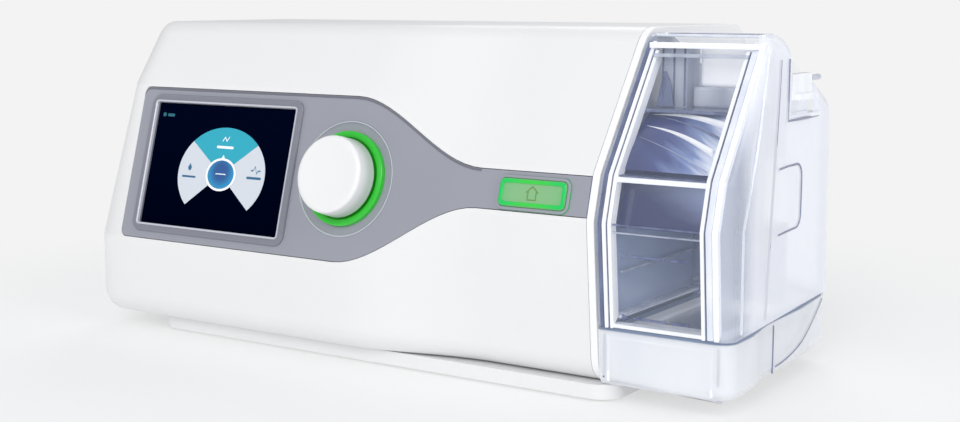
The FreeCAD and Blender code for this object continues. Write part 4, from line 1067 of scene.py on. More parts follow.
class VENT_OT_panel(Build, bpy.types.Operator):
    """Grey control panel, screen frame and screen with its menu fields"""

    bl_idname = "vent.panel"
    bl_label = "Panel and screen"

    def build(self, casing, panel, tank):
        loops = [
            panel_loop(0.0),
            screen_outline(1.6, 4.0),
            circle(*KNOB, 22.0, 96),
            key_outline(1.4, 3.2),
        ]
        plate = slab("control-panel", loops, 3.0, on_panel, 0.35, 2)
        done(plate, finish_for("panel"), "casing", "front_panel", slot="panel_grey")
        dish = lathe("knob-dish", [(17.85, -3.0), (17.85, -0.8), (20.4, -0.75), (21.2, -0.5),
                                   (21.7, -0.1), (22.0, -0.01), (22.0, -3.0), (17.85, -3.0)], on_knob)
        done(dish, finish_for("panel"), "casing", slot="panel_grey")
        # A thin pale ring on the dish's lip: a painted highlight along its outer edge.
        glint = lathe("dish-edge-highlight", [(21.25, -0.55), (21.25, -0.15), (21.4, 0.0), (21.6, 0.0), (21.75, -0.15),
                                    (21.75, -0.55), (21.25, -0.55)], on_knob)
        done(glint, finish_for("rim"), "casing", slot="panel_grey")

        rings = []
        for out, lift in ((3.4, -0.2), (3.4, 0.55), (3.1, 0.95), (2.6, 1.1), (1.2, 1.1), (0.5, 0.85),
                          (0.0, 0.1), (0.0, -1.9), (1.5, -1.9), (1.5, -0.2)):
            rings.append([on_panel(x, s, lift) for x, s in screen_outline(out, 0.7 + out, 8)])
        bezel = weld(loft("screen-frame", rings + rings[:1], True, (False, False)))
        done(bezel, finish_for("frame"), "casing", "screen_bezel", slot="bezel_grey")
        # Pale rim round the screen; its light grey is partly the screen's own rim and partly a painted
        # highlight along the edge.
        rings = []
        for out, lift in ((0.95, 1.0), (0.9, 1.25), (0.55, 1.3), (0.2, 1.1), (0.02, 0.2), (0.02, 0.0),
                          (0.6, 0.0)):
            rings.append([on_panel(x, s, lift) for x, s in screen_outline(out, 0.6 + out, 8)])
        rim = weld(loft("screen-rim", rings + rings[:1], True, (False, False)))
        done(rim, finish_for("rim"), "casing", slot="bezel_grey")
        # A thin dark strip along the panel's top edge: painted shadow under the white lip.
        crest = [(x, s) for x, s in panel_loop(-0.15) if s > 3.0 and x < 225.0]
        inner = [(x, s - 0.85) for x, s in reversed(crest)]
        edge = slab("panel-top-shadow", [crest + inner], 0.12,
                    lambda x, s, o: on_panel(x, s, o + 0.1), 0.0)
        done(edge, finish_for("edge"), "casing", slot="panel_grey")
        lens = slab("screen", [screen_outline(-0.05, 0.7)], 1.3,
                    lambda x, s, o: on_panel(x, s, o - 0.6), 0.15, 2)
        done(lens, finish_for("navy"), "casing", "screen_lens", slot="screen_glass")
        self.menu()

    def menu(self):
        hub_x, hub_s = HUB

        def arc(radius, start, stop, steps):
            points = []
            for i in range(steps + 1):
                a = math.radians(mix(start, stop, i / steps))
                points.append((hub_x + radius * math.cos(a), hub_s + radius * 0.82 * math.sin(a)))
            return points

        def field(name, finish, loop, lift=0.0, depth=0.08):
            piece = slab(name, [loop], depth, lambda x, s, o: on_panel(x, s, o - 0.45 + lift), 0.02, 1)
            done(piece, finish_for(finish), "casing", slot="screen_glass")

        for name, finish, start, stop in (
            ("menu-right", "menu_side", -44, 41.8), ("menu-top", "menu_top", 42.0, 138.0),
            ("menu-left", "menu_side", 138.2, 224),
        ):
            field(name, finish, arc(22.9, start, stop, 26) + arc(8.1, stop, start, 14))
        ring = slab("menu-hub-ring", [arc(8.0, 0, 354, 59), arc(6.9, 0, 353, 53)], 0.08,
                    lambda x, s, o: on_panel(x, s, o - 0.42), 0.02, 1)
        done(ring, finish_for("menu_white"), "casing", slot="screen_glass")
        field("menu-hub", "menu_hub", arc(6.8, 0, 354, 59))
        field("menu-pointer", "menu_white", [(66.9, -0.6), (68.9, -0.6), (67.9, 1.1)], 0.04)
        drop = [(51.0, -3.2), (52.0, -4.8), (51.7, -5.8), (51.0, -6.2), (50.3, -5.8), (50.0, -4.8)]
        field("menu-drop", "menu_ink", drop, 0.05)
        pulse = [(83.4, -3.9), (84.5, -3.9), (85.3, -2.2), (86.4, -5.0), (87.1, -3.9), (88.2, -3.9)]
        wave = [(66.2, 6.8), (67.3, 8.4), (68.4, 6.9), (69.5, 8.6)]
        for name, finish, line, thick in (("menu-pulse", "menu_ink", pulse, 0.55),
                                          ("menu-wave", "menu_white", wave, 0.6)):
            below = [(x, s - thick) for x, s in reversed(line)]
            field(name, finish, line + below, 0.05)
        bars = [
            ("menu-bar-a", "menu_ink", 47.4, -9.0, 54.8, -8.2),
            ("menu-bar-b", "menu_ink", 81.6, -7.6, 89.0, -6.6),
            ("menu-bar-c", "menu_white", 63.6, 3.6, 72.4, 4.6),
            ("menu-bar-d", "menu_white", 65.2, -7.1, 70.6, -6.4),
            ("menu-bar-e", "menu_dim", 34.0, 15.1, 37.8, 16.3),
        ]
        for name, finish, x0, s0, x1, s1 in bars:
            field(name, finish, rectangle(x0, s0, x1, s1, 0.35, 3), 0.05)
        field("menu-dot", "menu_dim", circle(32.2, 15.8, 0.9, 16), 0.03)


class VENT_OT_controls(Build, bpy.types.Operator):
    """Push-and-turn knob in its light ring, and the lit home key"""

    bl_idname = "vent.controls"
    bl_label = "Knob and key"

    def build(self, casing, panel, tank):
        r, top = panel.knob_radius / MM, panel.knob_height / MM
        cap = lathe("knob", [
            (0.0, top - 0.45), (4.0, top - 0.44), (8.0, top - 0.34), (10.6, top - 0.16),
            (11.9, top - 0.02), (12.9, top), (13.6, top - 0.12), (14.1, top - 0.42),
            (14.4, top - 0.9), (r, top - 1.5), (r + 0.2, top - 4.0), (r + 0.38, 2.2), (r + 0.3, 1.85),
            (r - 1.2, 1.8), (r - 1.6, top - 2.4), (5.3, top - 2.4), (5.3, 2.3), (3.1, 2.3),
            (3.1, 8.65), (0.0, 8.65),
        ], on_knob, 128)
        done(cap, finish_for("knob"), "knob", "knob_cap", slot="knob_white")
        ring = lathe("light-ring", [
            (4.4, -2.95), (17.8, -2.95), (17.8, 0.9), (17.55, 1.2), (17.1, 1.35), (16.0, 1.35),
            (15.5, 1.2), (15.3, 0.9), (15.3, -1.5), (4.4, -1.5), (4.4, -2.95),
        ], on_knob, 128)
        done(ring, finish_for("green"), "casing", "knob_light_ring", slot="ring_green")

        cx, cs = KEY
        key = slab("home-key", [key_outline(0.0, 1.8)], 3.8,
                   lambda x, s, o: on_panel(x, s, o + 0.9), 0.5, 4)
        done(key, finish_for("key"), "home_key", "home_button", slot="ring_green")
        rings = []
        for out, lift in ((1.3, -7.8), (1.3, 0.1), (1.05, 0.4), (0.7, 0.5), (0.4, 0.3), (0.3, -0.2),
                          (0.3, -7.8)):
            rings.append([on_panel(x, s, lift) for x, s in key_outline(out, 1.8 + out, 7)])
        guide = weld(loft("home-light", rings + rings[:1], True, (False, False)))
        done(guide, finish_for("key_edge"), "casing", "home_light_guide", slot="ring_green")
        loops = [key_outline(grow, 1.8 + grow, 7) for grow in (1.3, 0.25)]
        surround = slab("home-surround", loops, 0.4, lambda x, s, o: on_panel(x, s, o + 0.62), 0.15)
        done(surround, finish_for("panel"), "casing", slot="panel_grey")
        loops = [key_outline(-0.2 - draw, 1.7 - draw * 0.6, 7) for draw in (0.0, 1.35)]
        lip = slab("home-lip", loops, 0.5, lambda x, s, o: on_panel(x, s, o + 1.25), 0.22, 3)
        done(lip, finish_for("key_edge"), "home_key", slot="ring_green")
        house = [(-2.3, -3.0), (2.3, -3.0), (2.3, 0.4), (3.3, 0.4), (0.0, 3.4), (-3.3, 0.4), (-2.3, 0.4)]
        hollow = [(-1.8, -2.5), (1.8, -2.5), (1.8, 0.9), (2.0, 0.9), (0.0, 2.7), (-2.0, 0.9),
                  (-1.8, 0.9)]
        loops = [[(cx + x * 0.8, cs + s * 0.8) for x, s in loop] for loop in (house, hollow)]
        outline = slab("home-mark", loops, 0.1, lambda x, s, o: on_panel(x, s, o + 0.96), 0.0)
        done(outline, finish_for("key_ink"), "home_key", slot="ring_green")


def tank_end(y):
    """Plan outline of the tank's end face."""
    tip, back = tank_tip(), sizes()[2].back / MM
    # (y, how far the face lies behind the tip)
    points = [(-30.0, 0.0), (19.0, 0.0), (37.0, 3.3), (70.0, 3.7), (back, 7.5)]
    samples = 9
    total = 0.0
    for k in range(samples):
        near = y + k - samples // 2
        for (y0, drop0), (y1, drop1) in zip(points, points[1:]):
            if near <= y1 or y1 == back:
                total += mix(drop0, drop1, (near - y0) / (y1 - y0))
                break
    return tip - max(0.0, total / samples)


def tank_corners(low):
    tank = sizes()[2]
    back, roof = tank.back / MM, tank.roof / MM
    upper, lower = slope(4.7), slope(-11.5)
    casing_roof = sizes()[0].height / MM
    rise = (casing_roof - upper[1]) / (35.0 - upper[0])
    brow = 35.0 - (casing_roof - roof) / rise
    toe_y = mix(1.6, lower[0], (low - 6.0) / (lower[1] - 6.0))
    rear_y = mix(back, back - 3.0, (low - 6.0) / (roof - 32.0))
    return [(toe_y, low), (rear_y, low), (back - 3.0, roof - 26.0), (brow + 13.0, roof),
            (brow, roof), upper, lower]


def toe(z):
    """Where the skirt's front stands at height z."""
    return mix(1.6, -3.2, (z - 6.0) / 56.5)


def front_path(low, high, lift=0.0):
    """Points up the front face of the tank between two heights, moved out by lift."""
    path = rounded(inset_corners(tank_corners(low), -lift), [0.1, 0.1, 10, 12, 8, 5, 6], 8)
    front = [path[0]] + list(reversed(path[32:]))
    kept = [(y, z) for y, z in front if z <= high]
    if len(kept) < len(front):
        (y0, z0), (y1, z1) = kept[-1], front[len(kept)]
        kept.append((mix(y0, y1, (high - z0) / (z1 - z0)), high))
    return kept


def strip(name, x0, x1, low, high, out, depth, finish, body):
    """A moulded band that follows the front face."""
    outer = front_path(low, high, out)
    inner = front_path(low, high, out - depth)
    rings = []
    for (y1, z1), (y0, z0) in zip(outer, inner):
        rings.append([spot(x0, y0, z0), spot(x0, y1, z1), spot(x1, y1, z1), spot(x1, y0, z0)])
    piece = loft(name, rings)
    soften(piece, 0.3, 2, 50.0)
    return done(piece, finish_for(finish), body, slot="tank_clear")


def end_line(name, points, width, finish, body):
    """A narrow raised line on the tank's end face, through (y, z) points."""
    rings = []
    for i, (y, z) in enumerate(points):
        before = Vector(points[max(i - 1, 0)])
        after = Vector(points[min(i + 1, len(points) - 1)])
        run = (after - before).normalized()
        side = Vector((-run.y, run.x)) * width / 2.0
        ring = []
        for sign, out in ((1, -0.75), (1, 0.05), (-1, 0.05), (-1, -0.75)):
            p = Vector((y, z)) + side * sign
            ring.append(spot(min(tank_end(p.x) + out, tank_tip()), p.x, p.y))
        rings.append(ring)
    piece = soften(loft(name, rings), 0.12, 1, 50.0)
    return done(piece, finish_for(finish), body, slot="tank_clear")


class VENT_OT_tank(Build, bpy.types.Operator):
    """Clear tank body with its frosted end face, ribs and inside pieces"""

    bl_idname = "vent.tank"
    bl_label = "Tank"

    def build(self, casing, panel, tank):
        x0 = tank_start()
        skin = loft("tank-body", self.shell(x0, SEAM, 0.0))
        room = loft("room", self.shell(x0 - 3.0, SEAM - 6.0, tank.wall / MM))
        rx, ry, rz = 275.2, 53.0, 95.5
        cutters = [
            room,
            cutter_box(rx, ry, rz, 300.0, ry + 31.0, 140.0),
        ] + [port_cutter(x0, port) for port in PORTS]
        carve(skin, *cutters)
        outline = rounded(inset_corners(tank_corners(SEAM), 0.3), [0.6, 0.6, 9.7, 11.7, 7.7, 5.0, 6.0], 8)
        wall = slab("tank-rear-wall", [outline], 1.6, lambda y, z, o: spot(x0 + 0.1 - o, y, z), 0.2, 2)
        for port in PORTS:
            carve(wall, port_cutter(x0, port))
        done(wall, finish_for("tube"), "tank_lid", slot="tank_clear")
        done(skin, finish_for("clear"), "tank_lid", "tank_body", angle=26.0, slot="tank_clear")

        for name, lo, hi in (
            ("recess-back", (rx - 1.6, ry, rz), (rx, ry + 31.0, 108.0)),
            ("recess-floor", (rx - 1.6, ry - 1.2, rz - 1.6), (280.4, ry + 31.0, rz)),
            ("recess-side", (rx - 1.6, ry - 1.6, rz - 1.6), (280.6, ry, 117.0)),
        ):
            wall = block(name, spot(*lo), spot(*hi), 0.4, 3)
            done(wall, finish_for("rib"), "tank_lid", slot="tank_clear")
        lug = lathe("hinge-knuckle", [(1.56, 0), (2.9, 0), (2.9, 15.2), (1.56, 15.2), (1.56, 0)],
                    lambda a, b, h: spot(x0 + 14.4 + h, 109.9 + a, 24.6 + b), 40)
        done(lug, finish_for("rib"), "tank_lid", slot="tank_clear")
        strap = block("hinge-strap", spot(x0 + 14.4, 104.9, 26.65), spot(x0 + 29.6, 111.4, 28.6), 0.5, 3)
        done(strap, finish_for("rib"), "tank_lid", slot="tank_clear")

        top = 121.0
        bands = [
            ("flange-line", x0 + 0.9, x0 + 2.4, 26.8, top, 0.12, 2.0, "line"),
            ("flange-rib", x0 + 2.6, x0 + 4.1, 26.8, top, 0.25, 2.4, "rib"),
            ("window-line", x0 + 4.2, x0 + 4.5, 26.8, 118.0, 0.1, 3.4, "line"),
            ("window-rib-left", x0 + 4.6, x0 + 6.0, 26.8, 118.0, 0.2, 4.0, "rib"),
            ("window-rib-right", 274.6, 276.0, 26.8, 118.0, 0.2, 4.0, "rib"),
            ("post-line", 276.1, 276.4, 26.8, 118.0, 0.1, 3.0, "line"),
            ("post-haze", 276.5, 278.7, 26.8, top, 0.05, 3.0, "post"),
            ("post-rib", 278.8, 280.8, 26.8, top, 0.15, 2.4, "rib"),
        ]
        for name, a, b, lo, hi, out, depth, finish in bands:
            strip(name, a, b, lo, hi, out, depth, finish, "tank_lid")
        fold = slope(3.2)
        cross = [
            ("fold-rib", (x0 + 5.0, fold[0] + 0.2, fold[1] - 0.9),
             (276.0, fold[0] + 5.0, fold[1] + 0.9), "rib"),
            ("fold-shadow", (x0 + 6.0, fold[0] + 1.0, fold[1] + 0.9),
             (275.0, fold[0] + 5.5, fold[1] + 1.5), "line"),
            ("sill-rib", (x0 + 5.0, 0.2, 26.9), (276.0, 4.2, 28.3), "rib"),
            ("bar-rib", (x0 + 3.0, 28.0, 118.6), (279.0, 33.0, 120.6), "rib"),
            # Strip under the front bar: painted shade.
            ("bar-shade", (x0 + 5.0, 26.9, 115.6), (276.0, 30.0, 116.9), "tube"),
            # Roof pane in the glowing post finish: painted light for the bright casing end seen through the
            # roof.
            ("roof-light-pane", (x0 + 1.2, 36.0, 122.3), (277.5, 45.0, 123.3), "post"),
            ("roof-line", (x0 + 5.0, 37.6, 122.6), (276.0, 41.6, 123.55), "line"),
            ("roof-bar", (x0 + 1.0, 43.6, 122.0), (277.0, 46.6, 123.5), "rib"),
            ("waist-line-a", (x0 + 4.6, -2.7, 61.6), (275.0, -1.2, 62.2), "line"),
            ("waist-line-b", (x0 + 4.6, -2.4, 59.0), (275.0, -1.2, 59.6), "tube"),
        ]
        for name, lo, hi, finish in cross:
            piece = block(name, spot(*lo), spot(*hi), 0.25, 2)
            done(piece, finish_for(finish), "tank_lid", slot="tank_clear")
        self.end_face()
        self.inside(x0)

    def shell(self, start, low, inset):
        """Sections of the tank body, drawn in round its end face."""
        corners = inset_corners(tank_corners(SEAM), inset)
        corners[0] = (corners[0][0], low)
        corners[1] = (corners[1][0], low)
        radii = [0.4, 0.4, 10.0 - inset, 12.0 - inset, 8.0 - inset, 5.0, 6.0]
        rings = []
        for x in (start, 248.0, 260.0, 268.0):
            rings.append([spot(x, y, z) for y, z in rounded(corners, radii, 8)])
        edge = 5.0 - inset * 0.8
        loop = []
        for i in range(8):
            a = math.radians(90.0 * i / 7.0)
            draw = edge * (1.0 - math.cos(a))
            drawn = inset_corners(corners, draw)
            drawn[0] = (drawn[0][0], low)
            drawn[1] = (drawn[1][0], low)
            turned = [r if k < 2 or k > 4 else r - draw for k, r in enumerate(radii)]
            loop = rounded(drawn, turned, 8)
            back = edge * (1.0 - math.sin(a)) + inset
            rings.append([spot(tank_end(y) - back, y, z) for y, z in loop])
        for share in (0.75, 0.5, 0.25, 0.08):
            ring = [(mix(48.0, y, share), mix(60.0, z, share)) for y, z in loop]
            rings.append([spot(tank_end(y) - inset, y, z) for y, z in ring])
        return rings

    def end_face(self):
        """Crease, grip outline and recess edge moulded on the end face, drawn as thin lines: the dark ones
        are painted shadow, the pale ones painted highlight.
        """
        crease = [(mix(35.2, 42.6, (z - 28.0) / 87.0) + 1.6 * math.sin((z - 28) / 87 * 2), z)
                  for z in [28.0 + 3.0 * i for i in range(30)]]
        end_line("end-crease", crease, 0.7, "line", "tank_lid")
        # A pale line down the end face's rounded corner: a painted highlight.
        corner = [(9.0 + max(0.0, z - 62.0) * 0.40, z) for z in [28.0 + 3.0 * i for i in range(31)]]
        end_line("corner-highlight", corner, 0.6, "post", "tank_lid")
        grip = [(44.5, 78.0), (52.0, 78.4), (60.0, 78.4)]
        grip += [(61.0 + 4.6 * math.sin(math.radians(a)), 73.8 + 4.6 * math.cos(math.radians(a)))
                 for a in range(10, 91, 16)]
        grip += [(65.7, 68.0), (65.6, 63.0)]
        grip += [(61.0 + 4.6 * math.cos(math.radians(a)), 60.6 - 4.6 * math.sin(math.radians(a)))
                 for a in range(10, 91, 16)]
        grip += [(54.0, 55.8), (44.5, 55.4)]
        end_line("grip-outline", grip, 0.9, "line", "tank_lid")
        # Along the recess edge: a dark line of painted shadow and a pale line of painted highlight.
        for inset, finish in ((1.6, "line"), (0.4, "post")):
            edge = [(53.0 - inset, 115.0), (53.0 - inset, 104.0), (53.0 - inset, 95.5 - inset),
                    (68.0, 95.5 - inset), (84.0, 95.5 - inset)]
            end_line("recess-edge-" + finish, edge, 0.9, finish, "tank_lid")

    def inside(self, x0):
        """Duct, block and tinted walls seen through the front window."""
        finish = finish_for("deep")
        rear = [(66.0, 27.4), (66.0, 56.6), (30.0, 58.0), (26.0, 76.0), (27.0, 97.0)]
        rings = []
        for y, z in rear:
            rings.append([spot(x0 + 2.4, y, z), spot(275.4, y, z), spot(275.4, y + 1.6, z),
                          spot(x0 + 2.4, y + 1.6, z)])
        wall = soften(loft("inner-wall", rings), 0.4, 2, 50.0)
        done(wall, finish, "tank_lid", slot="tank_clear")
        side = slab("inner-side", [[(5.0, 30.0), (65.0, 30.0), (65.0, 56.0), (28.0, 57.0), (26.0, 76.0),
                                    (38.0, 97.0), (26.0, 97.0), (12.0, 78.0), (3.0, 60.0)]], 1.0,
                    lambda y, z, o: spot(x0 + 3.4 + o, y, z), 0.2, 2)
        done(side, finish, "tank_lid", slot="tank_clear")
        for name, lo, hi, tone in (
            ("floor-ledge", (x0 + 4.2, 4.0, 29.4), (x0 + 6.4, 64.0, 30.6), "post"),
            ("floor-shade", (x0 + 4.4, 4.0, 30.8), (x0 + 8.4, 64.0, 31.6), "tube"),
            ("wall-ledge", (x0 + 4.2, 6.0, 44.4), (x0 + 5.6, 64.0, 45.2), "tube"),
            ("far-ledge", (x0 + 5.0, 62.0, 33.0), (275.0, 65.0, 34.4), "tube"),
        ):
            ledge = block(name, spot(*lo), spot(*hi), 0.3, 2)
            done(ledge, finish_for(tone), "tank_lid", slot="tank_clear")
        shelf = block("inner-shelf", spot(x0 + 3.6, 20.0, 97.4), spot(272.0, 48.0, 98.6), 0.4, 3)
        done(shelf, finish_for("line"), "tank_lid", slot="tank_clear")

        rings = []
        for i in range(13):
            t = i / 12.0
            y, z = mix(6.0, 25.0, t) - 2.5 * math.sin(math.pi * t), mix(79.4, 97.2, t)
            rings.append([spot(x0 + 5.2, y, z), spot(275.0, y - 2.0, z), spot(275.0, y - 1.0, z),
                          spot(x0 + 5.2, y + 1.0, z)])
        # A curved sheet that carries the painted shade and reflections of the clear duct.
        sheet = loft("inner-sweep", rings)
        done(sheet, finish_for("swoop_painted_reflections"), "tank_lid", slot="tank_clear")
        # Thin tubes along the sweep: sweep-highlight-a and -d paint highlight streaks on the curved plastic,
        # sweep-ridge-c paints a shadow line.
        for name, z0, z1, bow, r0, r1, tone in (
            ("sweep-highlight-a", 93.0, 86.0, 1.2, 0.06, 1.5, "rib"),
            ("sweep-ridge-b", 89.5, 80.4, 0.8, 0.12, 0.2, "tube"),
            ("sweep-ridge-c", 96.2, 90.5, 0.8, 0.1, 0.6, "line"),
            ("sweep-highlight-d", 96.4, 94.0, 1.0, 0.1, 1.6, "rib"),
        ):
            rings = []
            for i in range(15):
                t = i / 14.0
                x, z = mix(x0 + 7.0, 273.0, t), mix(z0, z1, t) + bow * math.sin(t * math.pi)
                up = (z - 79.4) / 17.8
                y = mix(6.0, 25.0, up) - 2.5 * math.sin(math.pi * up) - 2.0 * t
                r = mix(r0, r1, t)
                rings.append([spot(x, y + r * 0.8 * math.cos(math.tau * k / 16),
                                   z + r * math.sin(math.tau * k / 16)) for k in range(16)])
            done(loft(name, rings), finish_for(tone), "tank_lid", slot="tank_clear")
        # A dark plate under the fold that carries its painted shade, paler at the upper right.
        loop = rounded([(x0 + 5.6, 60.4), (273.6, 60.4), (274.6, 77.0), (x0 + 5.6, 77.0)],
                       [0.6, 6.0, 1.0, 1.0], 8)
        pad = slab("fold-shade-plate", [loop], 1.2,
                   lambda x, z, o: spot(x, mix(3.0, 8.0, (z - 60.4) / 16.6) - o, z), 0.4, 3)
        done(pad, finish_for("fold_shade_finish"), "tank_lid", slot="tank_clear")
        loop = [(x0 + 6.2, 99.0), (x0 + 12.5, 99.0), (x0 + 10.5, 106.0), (x0 + 7.2, 113.0)]
        shade = slab("corner-shade", [loop], 0.6,
                     lambda x, z, o: spot(x, 27.5 + (z - 99.0) * 0.3 - o, z), 0.1, 1)
        done(shade, finish_for("line"), "tank_lid", slot="tank_clear")

        outer, inner = rectangle(243.0, 31.0, 252.5, 42.0, 0.8), rectangle(244.4, 32.4, 251.1, 40.6, 0.6)
        tube = slab("clear-tube", [outer, inner], 21.0, lambda x, y, o: spot(x, y, 119.6 + o), 0.2, 2)
        done(tube, finish_for("tube"), "tank_lid", slot="tank_clear")
        for x in (243.4, 247.6, 251.6):
            line = block("tube-line", spot(x, 30.6, 99.0), spot(x + 0.6, 31.2, 119.0), 0.15, 2)
            done(line, finish_for("line"), "tank_lid", slot="tank_clear")
        cover = block("tank-block", spot(x0 + 18.0, 36.5, 105.4), spot(x0 + 38.0, 47.0, 120.2), 1.6, 5)
        done(cover, finish_for("block"), "tank_lid", "tank_top_block", slot="duct_white")
        foot = block("tank-block-foot", spot(x0 + 16.5, 34.0, 98.4), spot(x0 + 37.0, 48.0, 105.6), 1.2, 4)
        done(foot, finish_for("tube"), "tank_lid", slot="tank_clear")
        for node in ("tank_inlet_elbow", "tank_outlet_box"):
            carried(node, finish_for("tube"), "tank_lid")
        carried("latch_pin", finish_for("tube"), "tank_lid")

        for name, z in (("level-high", 52.0), ("level-low", 31.0)):
            y = toe(z) - 0.05
            for k, (a, b) in enumerate(((250.0, 262.0), (264.0, 270.0))):
                dash = block("%s-%d" % (name, k), spot(a, y - 0.1, z - 0.4), spot(b, y + 0.6, z + 0.4),
                             0.1, 1)
                done(dash, finish_for("line"), "tank_lid", slot="tank_clear")
            arrow = slab("%s-mark" % name, [[(246.0, z + 1.2), (248.4, z), (246.0, z - 1.2)]], 0.5,
                         lambda x, up, o: spot(x, y - o, up), 0.08, 1)
            done(arrow, finish_for("line"), "tank_lid", slot="tank_clear")


class VENT_OT_tub(Build, bpy.types.Operator):
    """Lower half of the tank: clear skirt, seal, floor plate and hinge lugs"""

    bl_idname = "vent.tub"
    bl_label = "Tank skirt"

    def outline(self, z, inset=0.0, lead=0.0):
        """Front, end and back of the tank in plan at height z, from lead past its start."""
        start = tank_start() + lead
        front = toe(z) + inset
        tank = sizes()[2]
        back, roof = tank.back / MM, tank.roof / MM
        back -= 3.0 * (z - 6.0) / (roof - 32.0) + inset
        corner = [(start, front), (278.6, front)]
        for i in range(1, 9):
            a = math.radians(90.0 * i / 8.0)
            y = front + 6.0 * (1.0 - math.cos(a))
            corner.append((tank_end(y) - inset - 6.0 * (1.0 - math.sin(a)), y))
        for i in range(1, 15):
            y = mix(front + 6.0, back - 9.0, i / 14.0)
            corner.append((tank_end(y) - inset, y))
        for i in range(1, 9):
            a = math.radians(90.0 * i / 8.0)
            y = back - 9.0 + 9.0 * math.sin(a)
            corner.append((tank_end(y) - inset - 9.0 * (1.0 - math.cos(a)), y))
        corner.append((start, back))
        return corner

    def build(self, casing, panel, tank):
        x0 = tank_start()
        levels = [(25.7, 0.0), (20.0, 0.0), (14.0, 0.0), (10.0, 0.0)]
        for i in range(1, 7):
            a = math.radians(90.0 * i / 6.0)
            levels.append((10.0 - 4.0 * math.sin(a), 4.0 * (1.0 - math.cos(a))))
        levels.append((6.0, 7.0))
        rings = [[spot(x, y, z) for x, y in self.outline(z, inset)] for z, inset in levels]
        skirt = loft("tank-skirt", rings, False)
        modify(skirt, "SOLIDIFY", thickness=1.8 * MM, offset=-1.0)
        done(weld(skirt), finish_for("skirt"), "tank_tub", "tank_skirt", slot="tank_frame_clear")
        hole = rectangle(244.5, 22.0, 272.0, 84.0, 3.0)
        deck = slab("tank-deck", [self.outline(24.0, 2.4), hole], 1.4,
                    lambda x, y, o: spot(x, y, 24.9 + o), 0.2, 2)
        done(deck, finish_for("skirt"), "tank_tub", slot="tank_frame_clear")
        rings = []
        for z, inset in ((25.0, 1.0), (25.0, 0.7), (26.55, 0.7), (26.55, 1.0)):
            rings.append([spot(x, y, z) for x, y in self.outline(z, inset, 0.4)])
        for z in (26.55, 25.0):
            rings.append([spot(x, y, z) for x, y in self.outline(z, 3.4, 3.2)])
        seal = weld(loft("tank-seal", rings + rings[:1], True, (False, False)))
        done(seal, finish_for("seal"), "tank_tub", "tank_seal", slot="seal_blue")
        # Strips at the skirt's corners: the pale ones are painted highlights, the dark ones painted shadow
        # lines.
        for name, x, y, z0, z1, tone in (
            ("skirt-line", x0 + 1.0, 1.3, 9.0, 24.0, "line"),
            ("skirt-highlight-a", 277.2, 1.2, 8.0, 24.4, "rib"),
            ("skirt-edge-b", 279.4, 1.25, 12.0, 24.4, "line"),
            ("skirt-highlight-c", 239.6, 1.1, 8.0, 24.4, "rib"),
        ):
            post = block(name, spot(x, y, z0), spot(x + 0.9, y + 1.0, z1), 0.25, 2)
            done(post, finish_for(tone), "tank_tub", slot="tank_frame_clear")
        sill = block("skirt-sill", spot(240.8, 1.5, 22.6), spot(276.6, 2.6, 23.6), 0.3, 2)
        done(sill, finish_for("rib"), "tank_tub", slot="tank_frame_clear")
        split = block("skirt-split", spot(281.0, 42.6, 7.6), spot(281.5, 43.3, 24.6), 0.15, 2)
        done(split, finish_for("line"), "tank_tub", slot="tank_frame_clear")
        scoop = [(mix(46.0, 97.0, i / 16.0), mix(9.5, 24.4, (i / 16.0) ** 1.9)) for i in range(17)]
        end_line("skirt-scoop", scoop, 0.8, "line", "tank_tub")
        for side in (x0 + 8.0, x0 + 30.0):
            lug = lathe("tub-lug", [(1.56, 0), (2.9, 0), (2.9, 6.0), (1.56, 6.0), (1.56, 0)],
                        lambda a, b, h: spot(side + h, 109.9 + a, 24.6 + b), 40)
            done(lug, finish_for("skirt"), "tank_tub", slot="tank_frame_clear")
            arm = block("tub-arm", spot(side, 105.2, 21.8), spot(side + 6.0, 109.0, 24.5), 0.4, 2)
            done(arm, finish_for("skirt"), "tank_tub", slot="tank_frame_clear")
        carried("tank_base_plate", finish_for("metal"), "tank_tub", bevel=0.2)
        carried("tank_hinge_pin", finish_for("steel"), "tank_tub")


class VENT_OT_latch(Build, bpy.types.Operator):
    """Lever in the finger recess of the tank"""

    bl_idname = "vent.latch"
    bl_label = "Tank lever"

    def build(self, casing, panel, tank):
        carried("tank_latch_lever", finish_for("rib"), "tank_latch", bevel=0.4)


class VENT_OT_base(Build, bpy.types.Operator):
    """Plinth, feet and screws"""

    bl_idname = "vent.base"
    bl_label = "Base"

    def build(self, casing, panel, tank):
        carried("bottom_tray", finish_for("casing"), "casing")
        for i in range(1, 5):
            carried("foot_%d" % i, finish_for("rubber"), "casing")
            carried("case_screw_%d" % i, finish_for("steel"), "casing")
        for name, finish in (("heater_shelf", "casing"), ("heater_plate", "metal"),
                             ("heater_element", "pad")):
            carried(name, finish_for(finish), "casing", bevel=0.3)


class VENT_OT_rear(Build, bpy.types.Operator):
    """Filter door, card door, hose connector and power socket"""

    bl_idname = "vent.rear"
    bl_label = "Rear fittings"

    def build(self, casing, panel, tank):
        carried("filter_door", finish_for("casing"), "filter_flap", bevel=0.25)
        carried("card_door", finish_for("casing"), "card_flap", bevel=0.2)
        carried("outlet_connector", finish_for("duct"), "casing")
        carried("power_inlet", finish_for("black"), "casing", bevel=0.3)


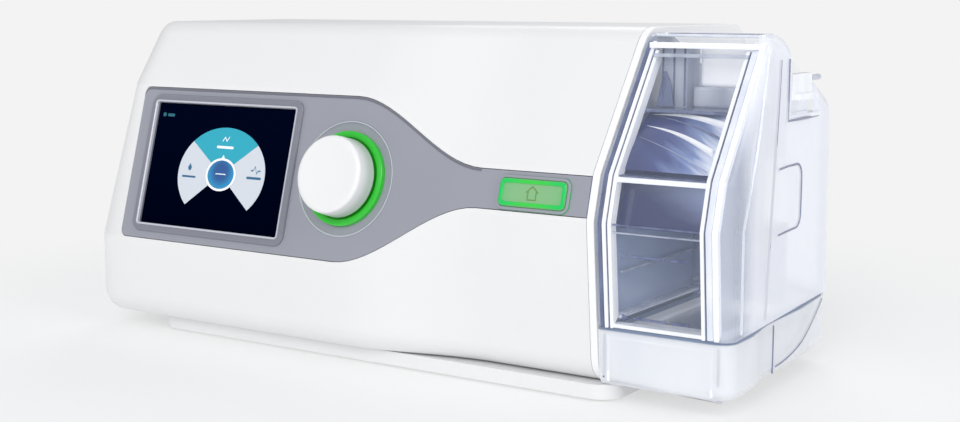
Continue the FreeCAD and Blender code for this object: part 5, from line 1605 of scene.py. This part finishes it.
class VENT_OT_inside(Build, bpy.types.Operator):
    """Boards, blower, ducts and filter inside the casing"""

    bl_idname = "vent.inside"
    bl_label = "Inside pieces"

    def build(self, casing, panel, tank):
        finishes = {
            "board": ["display_board", "main_board", "home_switch_board"],
            "black": ["lcd_module", "encoder_base", "card_reader", "blower_motor"],
            "steel": ["board_shield"],
            "duct": ["silencer_box", "inlet_duct", "blower_lower", "blower_upper", "supply_duct",
                     "outlet_duct"],
            "foam": ["silencer_foam"],
            "fleece": ["inlet_filter"],
            "rubber": ["dock_gasket_supply", "dock_gasket_return"]
            + ["blower_mount_%d" % i for i in range(1, 5)],
        }
        for finish, nodes in finishes.items():
            for node in nodes:
                carried(node, finish_for(finish), "casing")
        carried("encoder_plunger", finish_for("steel"), "knob_shaft")
        carried("impeller", finish_for("duct"), "blower_rotor")
        carried("impeller_spindle", finish_for("steel"), "blower_rotor")


OPERATORS = [VENT_OT_stage, VENT_OT_casing, VENT_OT_panel, VENT_OT_controls, VENT_OT_tank,
             VENT_OT_tub, VENT_OT_latch, VENT_OT_base, VENT_OT_rear, VENT_OT_inside]


class VENT_PT_panel(bpy.types.Panel):
    """Lists the pieces and their sizes"""

    bl_idname = "VENT_PT_panel"
    bl_label = "Bedside Ventilator"
    bl_space_type = "VIEW_3D"
    bl_region_type = "UI"
    bl_category = "Ventilator"

    def draw(self, context):
        for group in sizes():
            box = self.layout.box()
            for name in group.__annotations__:
                box.prop(group, name)
        for operator in OPERATORS:
            self.layout.operator(operator.bl_idname)


CLASSES = [CasingSizes, PanelSizes, TankSizes] + OPERATORS + [VENT_PT_panel]


def register():
    for item in CLASSES:
        bpy.utils.register_class(item)
    bpy.types.Scene.vent_casing = bpy.props.PointerProperty(type=CasingSizes)
    bpy.types.Scene.vent_panel = bpy.props.PointerProperty(type=PanelSizes)
    bpy.types.Scene.vent_tank = bpy.props.PointerProperty(type=TankSizes)


def unregister():
    del bpy.types.Scene.vent_casing
    del bpy.types.Scene.vent_panel
    del bpy.types.Scene.vent_tank
    for item in reversed(CLASSES):
        bpy.utils.unregister_class(item)


def main():
    register()
    for operator in OPERATORS:
        name = operator.bl_idname.split(".")[1]
        getattr(bpy.ops.vent, name)()


if __name__ == "__main__":
    main()
